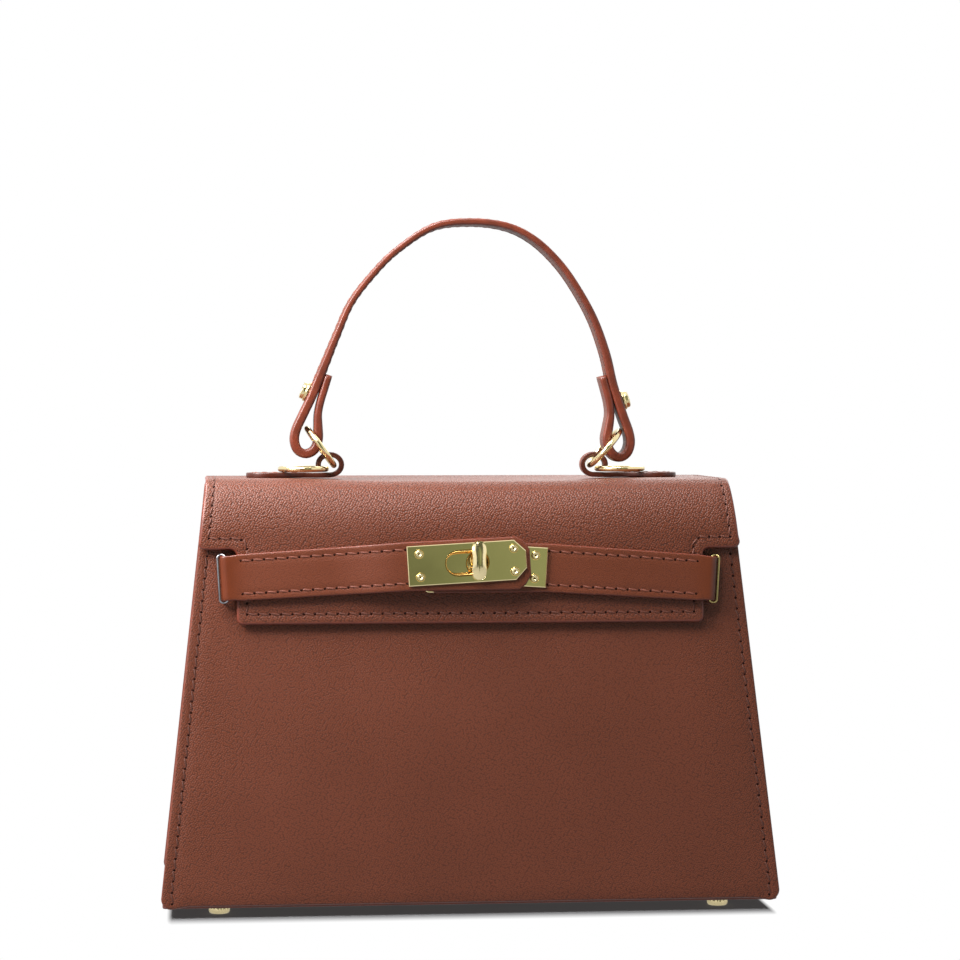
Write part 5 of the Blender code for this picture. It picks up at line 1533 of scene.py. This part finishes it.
class BAG_OT_straps(bpy.types.Operator):
    """Build the two closing straps with their wire loops, plates and rivets"""
    bl_idname = "leather_bag.straps"
    bl_label = "Closing Straps"

    def execute(self, context):
        for label, side in SIDES:
            self.build_strap(label, side)
            self.build_plate(label, side)
            self.build_loop(label, side)
        return {"FINISHED"}

    def build_strap(self, label, side):
        """Leather of a strap with its slot and seams."""
        start = PLATE_STARTS[side]
        place = strap_place(side)
        tip = start + PLATE_LENGTH + STRAP_TIP_LIP
        tail = -math.pi * STRAP_WRAP - STRAP_TAIL
        narrow, cut = STRAP_HALF_WIDTH, STRAP_CHAMFER
        least, widened = WRAP_HALF_WIDTH, STRAP_WRAP + STRAP_WIDENS_OVER
        edges = []
        for sign, wide in zip((-1, 1), STRAP_TIP_REACHES[side]):
            edges.append([(u, sign * v) for u, v in (
                (tail, least), (STRAP_WRAP, least), (widened, narrow), (start, STRAP_TIP_HALF_WIDTH),
                (tip - cut, wide), (tip - cut * 0.45, wide - cut * 0.35), (tip, wide - cut),
            )])
        outline = edges[0] + edges[1][::-1]
        slot = slot_outline((start + PLATE_LENGTH / 2, 0), SLOT_LENGTH / 2, SLOT_HALF_WIDTH)
        lines = strap_lines(start)
        relief = groove(lines)
        body = f"closing_strap_{label}"
        mesh = sheet_mesh(f"strap_leather_{label}", outline, place, STRAP_THICKNESS, rounding=0.0007, spacing=0.0018,
                          holes=[slot], lines=lines, relief=relief)
        root = side * STRAP_ROOT_XS[side]
        drawn = (root - side * STRAP_DRAWN_OVER, root + side * STRAP_WRAP * 0.6, STRAP_WARMTH[side])
        grain = leather(f"strap_leather_{label}", *STRAP_LEATHER[1:], drawn)
        add_piece(f"strap_leather_{label}", mesh, leather_layers(grain), body, [f"strap_{label}"])
        surface = with_relief(place, relief)
        add_seam(f"strap_seams_{label}", [(line, surface, STRAP_SLANT * side) for line in lines], body)

    def build_plate(self, label, side):
        """Slotted plate of a strap, the rim of its slot and its rivets."""
        start = PLATE_STARTS[side]
        rise = STRAP_LAYER if side < 0 else 0
        low = STRAP_BORE + STRAP_THICKNESS + CLEARANCE + rise
        matrix = strap_matrix(side)
        end, half, cut = start + PLATE_LENGTH, PLATE_HALF_WIDTH, PLATE_CHAMFER
        outline = [
            (start, -half), (end - cut, -half), (end, -half + cut),
            (end, half - cut), (end - cut, half), (start, half),
        ]
        middle = start + PLATE_LENGTH / 2
        slot = slot_outline((middle, 0), SLOT_LENGTH / 2, SLOT_HALF_WIDTH)
        places = [(middle + x * RIVET_ALONG, y * RIVET_ACROSS) for x in (-1, 1) for y in (-1, 1)]
        rings = [circle(spot, RIVET_SEAT_RADIUS) for spot in places]

        def place(u, v, height):
            return matrix @ Vector((u, v, low + PLATE_THICKNESS + height))
        mesh = plate_mesh(f"plate_{label}", outline, place, PLATE_THICKNESS, PLATE_ROUNDING, [slot] + rings)
        body = f"closing_strap_{label}"
        add_piece(f"plate_{label}", mesh, plate_metals(), body, [f"strap_plate_{label}"])
        rim = []
        for inset, height in SLOT_RIM:
            ends = slot_outline((middle, 0), SLOT_LENGTH / 2 - inset * 0.3, SLOT_HALF_WIDTH - inset)
            rim.append([matrix @ Vector((u, v, low + PLATE_THICKNESS + height)) for u, v in ends])
        mesh = loft_mesh(f"slot_rim_{label}", rim, ringed=True)
        # The rim's orange is a painted reflection of the leather
        add_piece(f"slot_rim_{label}", mesh, [plated_metal("slot_reflection_gold", SLOT_REFLECTION_COLOUR, rough=0.16)], body)
        rivet = turned_mesh("rivet", RIVET_PROFILE, facets=32, sharp=60)
        for i, (x, y) in enumerate(places):
            seat = matrix @ Matrix.Translation((x, y, low + PLATE_THICKNESS))
            name = f"rivet_{label}_{i + 1}"
            mesh = joined_mesh(name, [(rivet, seat)], 60)
            centre = seat.translation
            # Faces in the rivet's dimple take the painted shade
            for face in mesh.polygons:
                if (face.center - centre).length < RIVET_DIMPLE_RADIUS:
                    face.material_index = 1
            add_piece(name, mesh, [gold("rivet_gold", rough=0.16), painted_recess_shade()], body,
                      [f"strap_rivet_{label}_{i + 1}"])

    def build_loop(self, label, side):
        """Wire loop that a strap turns on."""
        matrix = strap_matrix(side)
        reach = WRAP_HALF_WIDTH + CLEARANCE / 2 + WIRE_RADIUS
        half = (STRAP_WRAP + CLEARANCE + WIRE_RADIUS) / 2
        path = []
        for x, y in rounded_rectangle(half, reach, WIRE_CORNER_RADIUS, steps=8):
            deeper = (half - x) / half
            path.append(matrix @ Vector((x - half, y, -WIRE_SET_BACK * deeper * (2 - deeper) / 2)))
        ring = tube_mesh("loop_frame", path, WIRE_RADIUS, closed=True, facets=WIRE_FACETS)
        parts = [(ring, Matrix())]
        for sign in (-1, 1):
            ends = [matrix @ Vector((-half, sign * reach, z)) for z in (-LOOP_OUT - WIRE_LEG, -WIRE_SET_BACK / 2)]
            parts.append((tube_mesh("loop_leg", ends, WIRE_RADIUS, facets=WIRE_FACETS), Matrix()))
        name = f"wire_loop_{label}"
        # Metal darkened with painted shade
        shaded_wire = plated_metal(f"wire_metal_{label}", WIRE_SHADED_COLOURS[side], rough=0.16)
        add_piece(name, joined_mesh(name, parts, 50), [shaded_wire], "bag_body", [f"strap_loop_{label}"])


class BAG_OT_lock(bpy.types.Operator):
    """Build the lock's base plate and its turning knob"""
    bl_idname = "leather_bag.lock"
    bl_label = "Lock"

    def execute(self, context):
        half = (LOCK_PLATE_ABOVE + LOCK_PLATE_BELOW) / 2
        outline = [(x - LOCK_X, y + LOCK_PLATE_ABOVE - half)
                   for x, y in rounded_rectangle(LOCK_PLATE_HALF_LENGTH, half, LOCK_PLATE_CORNER_RADIUS)]

        def place(u, v, height):
            return LOCK @ Vector((u, v, LOCK_PLATE_FRONT + height))
        mesh = plate_mesh("lock_plate", outline, place, LOCK_PLATE_THICKNESS, LOCK_PLATE_ROUNDING,
                          [circle((0, 0), STEM_HOLE_RADIUS)])
        add_piece("lock_plate", mesh, plate_metals(), "flap", ["lock_base_plate"])
        mesh = joined_mesh("turning_knob", [(self.post_mesh(), LOCK), (self.bar_mesh(), LOCK)], 40)
        add_piece("turning_knob", mesh, [gold("knob_gold", rough=0.10)], "turning_knob", ["lock_knob"])
        return {"FINISHED"}

    def post_mesh(self):
        """Flat-sided post with a round stem behind it."""
        rings = []
        for z, share in (
            (0.0022, 0.45), (LOCK_PLATE_FRONT + CLEARANCE, 0.45), (LOCK_PLATE_FRONT + CLEARANCE, 0.93),
            (LOCK_PLATE_FRONT + 0.0010, 1.0), (KNOB_BACK - 0.0022, 1.0), (KNOB_BACK - 0.0010, 0.86),
            (KNOB_BACK - 0.0004, 0.74), (KNOB_BACK + KNOB_THICKNESS / 2, 0.74),
        ):
            reach = POST_REACH * share
            far = (POST_FAR_REACH if share > 0.5 else POST_REACH) * share
            right = arc((0, 0), reach, -90, 90, 14)
            left = arc((reach - far, 0), reach, 90, 270, 14)
            rings.append([(x, y, z) for x, y in right + left])
        return loft_mesh("post", rings)

    def bar_mesh(self):
        """Bar with full round ends, arched both ways in front."""
        sections = []
        for i in range(BAR_ROWS + BAR_CLOSING_ROWS + 1):
            angle = math.radians(-90 + 180 * min(i / BAR_ROWS, 1))
            rise = math.sin(angle)
            narrower = (1 - max(math.cos(angle), 0) ** 0.8) * (BAR_FRONT_SHRINK if rise > 0 else BAR_BACK_SHRINK)
            narrower += (0.99 - narrower) * max(i - BAR_ROWS, 0) / BAR_CLOSING_ROWS
            across = KNOB_HALF_WIDTH * (1 - narrower)
            along = KNOB_HALF_LENGTH - KNOB_HALF_WIDTH * 0.8 * narrower
            ring = []
            for k in range(BAR_CORNERS):
                turn = 2 * math.pi * k / BAR_CORNERS
                c, d = math.cos(turn), math.sin(turn)
                x = across * math.copysign(abs(c) ** BAR_SIDE_POWER, c)
                y = along * math.copysign(abs(d) ** BAR_END_POWER, d)
                arch = y * y / BAR_ARCH_ALONG + x * x / BAR_ARCH_ACROSS if rise > 0 else 0
                z = KNOB_BACK + KNOB_THICKNESS * (0.5 + 0.5 * rise) - arch * rise
                ring.append((x * (1 - BAR_WAIST * math.exp(-((y / BAR_WAIST_REACH) ** 4))), y, z))
            sections.append(ring)
        return loft_mesh("bar", sections)


def tab_line():
    """Middle of the left tab's leather, from its outer end round its eye."""
    half_x = (TAB_EYE_LENGTH + TAB_LOOP_THICKNESS) / 2
    half_z = (TAB_EYE_HEIGHT + TAB_LOOP_THICKNESS) / 2
    eye_x = -TAB_LOOP_X - half_x - TAB_LOOP_THICKNESS / 2
    strip_z = TAB_TOP - TAB_THICKNESS / 2
    bottom = TAB_TOP - TAB_LOOP_THICKNESS / 2
    neck = eye_x - half_x - TAB_THICKNESS
    line = [(x, 0, strip_z) for x in spaced(-TAB_OUTER_X, neck, 10)]
    for degrees in spaced(-90, TAB_CURL_DEGREES - 90, TAB_CURL_STEPS):
        angle = math.radians(degrees)
        line.append((eye_x + half_x * math.cos(angle), 0, bottom + half_z + half_z * math.sin(angle)))
    return line


def path_place(line, side=-1, thickness=None):
    """Function that puts u along a path in the x-z plane, v along y and a height on its left side."""
    points = [Vector(p) for p in line]
    lengths = run_lengths(points)
    normals = []
    for i in range(len(points)):
        run = (points[min(i + 1, len(points) - 1)] - points[max(i - 1, 0)]).normalized()
        normals.append(Vector((-run.z, 0, run.x)))

    def place(u, v, height):
        u = min(max(u, 0), lengths[-1])
        k = int(np.searchsorted(lengths, u, side="right")) - 1
        k = min(max(k, 0), len(points) - 2)
        share = (u - lengths[k]) / max(lengths[k + 1] - lengths[k], 1e-9)
        point = points[k].lerp(points[k + 1], share)
        normal = normals[k].lerp(normals[k + 1], share).normalized()
        full = thickness(u) if thickness else 0
        spot = point + normal * (full / 2 + height)
        return Vector((-side * spot.x, v, spot.z))
    return place, lengths[-1]


class BAG_OT_tabs(bpy.types.Operator):
    """Build the two leather tabs that hold the rings"""
    bl_idname = "leather_bag.tabs"
    bl_label = "Ring Tabs"

    def execute(self, context):
        for label, side in SIDES:
            def thick(u):
                thinned = ease((u - TAB_THINS_FROM) / TAB_THINS_OVER)
                return TAB_THICKNESS + (TAB_LOOP_THICKNESS - TAB_THICKNESS) * thinned
            place, length = path_place(tab_line(), side, thick)

            def half(u):
                if u < TAB_HALF_WIDTH:
                    return max(math.sqrt(max(TAB_HALF_WIDTH ** 2 - (TAB_HALF_WIDTH - u) ** 2, 0)), 0.0004)
                share = ease((TAB_NECK_LENGTH - u) / (TAB_NECK_LENGTH - TAB_HALF_WIDTH))
                return TAB_LOOP_HALF_WIDTH + share * (TAB_HALF_WIDTH - TAB_LOOP_HALF_WIDTH)
            stations = [TAB_HALF_WIDTH * (1 - math.cos(a)) for a in spaced(0.12, math.pi / 2, 8)]
            stations += spaced(TAB_HALF_WIDTH, length, 26)[1:]
            outline = [(u, -half(u)) for u in stations] + [(u, half(u)) for u in reversed(stations)]
            seam = [(u, -half(u) + TAB_SEAM_INSET) for u in spaced(TAB_NECK_LENGTH - 0.004, 0.0056, 8)]
            seam += [(TAB_SEAM_END, -TAB_SEAM_END_HALF_WIDTH), (TAB_SEAM_END, TAB_SEAM_END_HALF_WIDTH)] + [
                (u, -v) for u, v in reversed(seam)]
            relief = groove([seam], depth=0.0002)
            name = f"tab_leather_{label}"
            mesh = sheet_mesh(name, outline, place, TAB_CURL_WALL, rounding=0.0005, spacing=0.0016,
                              lines=[seam], relief=relief)
            # Dark edge paint, made darker still with painted shade of the tab's curl
            layers = leather_layers(leather(*TAB_SHADED_LEATHER), edge_paint("tab_shaded_edge_paint", tone=0.4))
            add_piece(name, mesh, layers, "flap", [f"tab_{label}"])
            add_seam(f"tab_seam_{label}", [(seam, with_relief(place, relief), TAB_SLANT)], "flap")
        return {"FINISHED"}


def shoulder_ring_matrix(side):
    """Place of the ring that lies flat on a tab."""
    wire = EYE_X + TAB_EYE_LENGTH / 2 - RING_WIRE_RADIUS - SHOULDER_RING_PLAY
    return Matrix.Translation((side * (wire + RING_RADIUS), 0, SHOULDER_RING_Z))


def handle_ring_matrix(side):
    """Place of the ring that joins a tab to the handle."""
    tilt = RING_TILTS[side]
    wire_x = EYE_X - TAB_EYE_LENGTH / 2 + RING_WIRE_RADIUS + HANDLE_RING_PLAY
    height = EYE_Z - CLEARANCE + RING_RADIUS * math.cos(tilt)
    centre = Vector((side * (wire_x + RING_RADIUS * math.sin(tilt)), 0, height))
    return Matrix.Translation(centre) @ Matrix.Rotation(side * (tilt - math.pi / 2), 4, "Y")


class BAG_OT_rings(bpy.types.Operator):
    """Build the four wire rings"""
    bl_idname = "leather_bag.rings"
    bl_label = "Rings"

    def execute(self, context):
        path = [(RING_RADIUS * math.cos(a), RING_RADIUS * math.sin(a), 0) for a in spaced(0, 2 * math.pi, 72)[:-1]]
        for label, side in SIDES:
            ring = tube_mesh("ring", path, RING_WIRE_RADIUS, closed=True, facets=20)
            for name, matrix, body, node in (
                (f"round_ring_{label}", shoulder_ring_matrix(side), f"strap_ring_{label}", f"shoulder_ring_{label}"),
                (f"linking_ring_{label}", handle_ring_matrix(side), "handle", f"handle_ring_{label}"),
            ):
                mesh = joined_mesh(name, [(ring, matrix)])
                add_piece(name, mesh, [gold("ring_gold", rough=0.10)], body, [node])
        return {"FINISHED"}


def handle_points():
    """Points of the handle's middle line, from its left end to its right one."""
    ends = []
    for side, shares in ((-1, LEFT_LOOP_SHARES), (1, RIGHT_LOOP_SHARES)):
        wire = handle_ring_matrix(side) @ Vector((side * RING_RADIUS, 0, 0))
        ends.append([wire + HANDLE_LOOP_LENGTH * Vector((-side * inwards, 0, up)) for inwards, up in shares])
    low, rise = BAG_TOP + ARCH_START_RISE, HANDLE_RISE - ARCH_START_RISE
    arch = [Vector((x * HANDLE_HALF_SPAN, 0, low + z * rise)) for x, z in ARCH_SHARES]
    return ends[0] + arch + ends[1][::-1]


class BAG_OT_handle(bpy.types.Operator):
    """Build the handle with its end loops, studs and seams"""
    bl_idname = "leather_bag.handle"
    bl_label = "Handle"

    def execute(self, context):
        steps = HANDLE_STEPS
        line = smooth_line(handle_points(), steps)
        lengths = run_lengths(line)
        total = len(line) - 1

        def station(u):
            """Place along the handle, counted in points from its nearer end."""
            i = float(np.interp(u, lengths, range(total + 1)))
            return min(i, total - i) / steps

        def grown(u):
            return ease((station(u) - HANDLE_WIDENS_FROM) / HANDLE_WIDENS_OVER)

        def half(u):
            return HANDLE_END_HALF_WIDTH + grown(u) * (HANDLE_HALF_WIDTH - HANDLE_END_HALF_WIDTH)

        def thick(u):
            thickened = ease((station(u) - HANDLE_THICKENS_FROM) / HANDLE_THICKENS_OVER)
            end = HANDLE_TAIL_THICKNESS + thickened * (HANDLE_END_THICKNESS - HANDLE_TAIL_THICKNESS)
            return end + grown(u) * (HANDLE_THICKNESS - end)

        place, length = path_place(line)
        sections = []
        for u in spaced(0, length, HANDLE_SECTIONS):
            t, w = thick(u) / 2, half(u)
            if u < HANDLE_END_ROUNDING or u > length - HANDLE_END_ROUNDING:
                w -= HANDLE_END_ROUNDING
            ring = rounded_rectangle(w, t, min(t * 0.75, 0.0013), HANDLE_CORNER_STEPS)
            sections.append([place(u, a, b) for a, b in ring])
        mesh = loft_mesh("handle_leather", sections)
        columns = 4 * (HANDLE_CORNER_STEPS + 1)
        for k, face in enumerate(mesh.polygons):
            if k < columns * HANDLE_SECTIONS and k % columns not in (columns // 2 - 1, columns - 1):
                face.material_index = 1
        materials = [leather(*STRAP_LEATHER), edge_paint()]
        add_piece("handle_leather", mesh, materials, "handle", ["handle_strap"])
        ends = [lengths[i] for i in (HANDLE_WIDENS_FROM * steps, total - HANDLE_WIDENS_FROM * steps)]
        rows = []
        for sign in (-1, 1):
            seam = [(u, sign * (half(u) - HANDLE_SEAM_INSET)) for u in spaced(*ends, 60)]
            for face in (-1, 1):
                def surface(u, v, height, face=face):
                    return place(u, v, face * (thick(u) / 2 + height))
                rows.append((seam, surface, HANDLE_SLANT * face * sign))
        add_seam("handle_seams", rows, "handle", pitch_share=HANDLE_PITCH_SHARE, radius=0.00038, lift=0.00014)
        self.build_studs(line, lengths, thick)
        return {"FINISHED"}

    def build_studs(self, line, lengths, thick):
        """Screw studs through the handle's ends, and the finish of their nuts."""
        for label, side in SIDES:
            index = STUD_STATIONS[side] * HANDLE_STEPS
            place = line[index + 1].lerp(line[index + 2], 0.33)
            run = (line[index + 3] - line[index]).normalized()
            normal = Vector((-run.z, 0, run.x))
            outward = normal if normal.x * place.x > 0 else -normal
            head = thick(lengths[index]) / 2 + CLEARANCE
            matrix = Matrix.Translation(place) @ outward.to_track_quat("Z", "Y").to_matrix().to_4x4()
            stud = turned_mesh("stud", [(radius, head + z) for radius, z in STUD_PROFILE], sharp=35)
            name = f"screw_stud_{label}"
            mesh = joined_mesh(name, [(stud, matrix)], 35)
            add_piece(name, mesh, [gold("stud_gold", rough=0.14)], "handle", [f"handle_stud_{label}"])
            dress(f"handle_nut_{label}", gold("stud_gold", rough=0.14))


class BAG_OT_studio(bpy.types.Operator):
    """Set up the floor, the lights, the background and the camera"""
    bl_idname = "leather_bag.studio"
    bl_label = "Studio"

    def execute(self, context):
        scene = context.scene
        level = settings().light_level
        scene.view_settings.view_transform = "Standard"
        self.build_world(scene)
        self.build_floor(scene)
        for name, (spot, size, power, colour) in LAMPS.items():
            data = bpy.data.lights.new(name, "AREA")
            data.shape = "RECTANGLE"
            data.size, data.size_y = size
            data.energy = power * level
            data.color = colour
            light = bpy.data.objects.new(name, data)
            scene.collection.objects.link(light)
            light.visible_camera = False
            light.location = spot
            light.rotation_euler = (Vector(LAMP_AIM) - Vector(spot)).to_track_quat("-Z", "Y").to_euler()
        self.build_card(scene)
        turn = Matrix.Rotation(CAMERA_YAW, 3, "Z")
        data = bpy.data.cameras.new("camera")
        data.sensor_width = SENSOR_WIDTH
        data.lens = CAMERA_LENS
        camera = bpy.data.objects.new("camera", data)
        scene.collection.objects.link(camera)
        camera.location = turn @ Vector(CAMERA_PLACE)
        look = turn @ Vector((0, math.cos(CAMERA_PITCH), -math.sin(CAMERA_PITCH)))
        camera.rotation_euler = look.to_track_quat("-Z", "Y").to_euler()
        scene.camera = camera
        return {"FINISHED"}

    def build_world(self, scene):
        """White background; dim and soft where it lights the bag."""
        world = bpy.data.worlds.new("studio_world")
        scene.world = world
        world.use_nodes = True
        world.node_tree.nodes.clear()
        n = Nodes(world.node_tree)
        rays = n.add("ShaderNodeLightPath").outputs
        seen = n.math("MAXIMUM", rays["Is Glossy Ray"], rays["Is Transmission Ray"])
        seen = n.math("MAXIMUM", rays["Is Camera Ray"], seen)
        soft, white = n.add("ShaderNodeBackground"), n.add("ShaderNodeBackground")
        n.put(soft, Color=SKY_COLOUR, Strength=SKY_STRENGTH)
        n.put(white, Color=(1, 1, 1, 1))
        n.blend(seen, soft.outputs[0], white.outputs[0], n.add("ShaderNodeOutputWorld"))

    def add_plane(self, scene, name, segments, half):
        """Flat square that belongs to the studio."""
        build = bmesh.new()
        bmesh.ops.create_grid(build, x_segments=segments, y_segments=segments, size=half)
        mesh = bpy.data.meshes.new(name)
        build.to_mesh(mesh)
        build.free()
        plane = bpy.data.objects.new(name, mesh)
        scene.collection.objects.link(plane)
        return plane

    def build_card(self, scene):
        """Card beside the camera that glows by its own emission, brighter towards one side as painted light, and that
        only polished faces show, standing in for a photographer's card.
        """
        card = self.add_plane(scene, "glowing_card", 1, 0.5)
        spot = Vector(CARD_SPOT)
        turn = (Vector(CARD_AIM) - spot).to_track_quat("Z", "Y").to_matrix().to_4x4()
        card.matrix_world = Matrix.Translation(spot) @ turn @ Matrix.Diagonal((*CARD_SIZE, 1))
        for kind in ("camera", "diffuse", "transmission", "volume_scatter", "shadow"):
            setattr(card, f"visible_{kind}", False)
        material, n = material_named("glowing_card")
        card.data.materials.append(material)
        n.finish(n.mix(n.noise(n.place(), 2.0), (0.0, 0.0, 0.0), (0.01, 0.01, 0.01)), 1.0)
        n.put(n.shader, Emission_Color=CARD_COLOUR, Specular_IOR_Level=0.0)
        away = n.add("ShaderNodeVectorMath", operation="LENGTH")
        n.link(n.place(CARD_SIZE), away.inputs[0])
        across = n.add("ShaderNodeSeparateXYZ")
        n.link(n.place(), across.inputs[0])
        # Painted light: the card's glow is brighter at one side, as if lit from there
        lit = n.remap(across.outputs["X"], -0.02, 0.06, CARD_BRIGHT, CARD_DIM)
        strength = n.math("MULTIPLY", lit, n.remap(away.outputs["Value"], 0.25, 0.50, 1.0, 0.25))
        n.link(strength, n.shader.inputs["Emission Strength"])

    def build_floor(self, scene):
        """Dark grey paper under the bag, which keeps its real shadow deep; bright where the camera sees it away from
        the base, with a band of painted shade round the base where the white fades in.
        """
        floor = self.add_plane(scene, "floor", 12, 4.0)
        material, n = material_named("floor_paper")
        floor.data.materials.append(material)
        n.finish(n.mix(n.noise(n.place(), 1.5), (0.17, 0.171, 0.176), (0.19, 0.191, 0.196)), 0.8)
        n.put(n.shader, IOR=1.1)
        rays = n.add("ShaderNodeLightPath").outputs
        bright = n.add("ShaderNodeEmission")
        place = n.add("ShaderNodeSeparateXYZ")
        n.link(n.place(), place.inputs[0])
        away = []
        for axis, half, pull in (
            ("X", BASE_HALF_WIDTH - FLOOR_SHADE_SIDE_INSET, FLOOR_SHADE_SIDE_PULL), ("Y", BASE_HALF_DEPTH, 1.0),
        ):
            past = n.math("MAXIMUM", n.math("SUBTRACT", n.math("ABSOLUTE", place.outputs[axis], 0), half), 0)
            past = n.math("MULTIPLY", past, pull)
            away.append(n.math("MULTIPLY", past, past))
        distance = n.math("SQRT", n.math("ADD", *away), 0)
        # Painted shade: round the base the white emission fades out, leaving the dark floor and its real shadow
        open_floor = n.remap(distance, FLOOR_SHADE_START, FLOOR_SHADE_END, FLOOR_SHADE, 1.0)
        share = n.math("MAXIMUM", n.math("MULTIPLY", rays["Is Camera Ray"], open_floor),
                       n.math("MULTIPLY", rays["Is Glossy Ray"], FLOOR_GLOSS))
        n.blend(share, n.shader.outputs[0], bright.outputs[0], n.tree.nodes["Material Output"])


class BAG_PT_panel(bpy.types.Panel):
    """Colours and sizes of the finish, and a button for each group of pieces"""
    bl_label = "Leather Bag"
    bl_idname = "BAG_PT_panel"
    bl_space_type = "VIEW_3D"
    bl_region_type = "UI"
    bl_category = "Leather Bag"

    def draw(self, context):
        layout = self.layout
        looks = context.scene.leather_bag
        for name in LeatherBagSettings.__annotations__:
            layout.prop(looks, name)
        for kind in BUILDERS:
            layout.operator(kind.bl_idname)


BUILDERS = (
    BAG_OT_walls, BAG_OT_sides, BAG_OT_base, BAG_OT_inside, BAG_OT_flap, BAG_OT_straps, BAG_OT_lock, BAG_OT_tabs,
    BAG_OT_rings, BAG_OT_handle, BAG_OT_studio,
)


def register():
    bpy.utils.register_class(LeatherBagSettings)
    for kind in BUILDERS + (BAG_PT_panel,):
        bpy.utils.register_class(kind)
    bpy.types.Scene.leather_bag = PointerProperty(type=LeatherBagSettings)


def unregister():
    del bpy.types.Scene.leather_bag
    for kind in (BAG_PT_panel,) + BUILDERS[::-1]:
        bpy.utils.unregister_class(kind)
    bpy.utils.unregister_class(LeatherBagSettings)


def main():
    """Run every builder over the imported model."""
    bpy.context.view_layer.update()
    register()
    for kind in BUILDERS:
        group, call = kind.bl_idname.split(".")
        getattr(getattr(bpy.ops, group), call)()


if __name__ == "__main__":
    main()
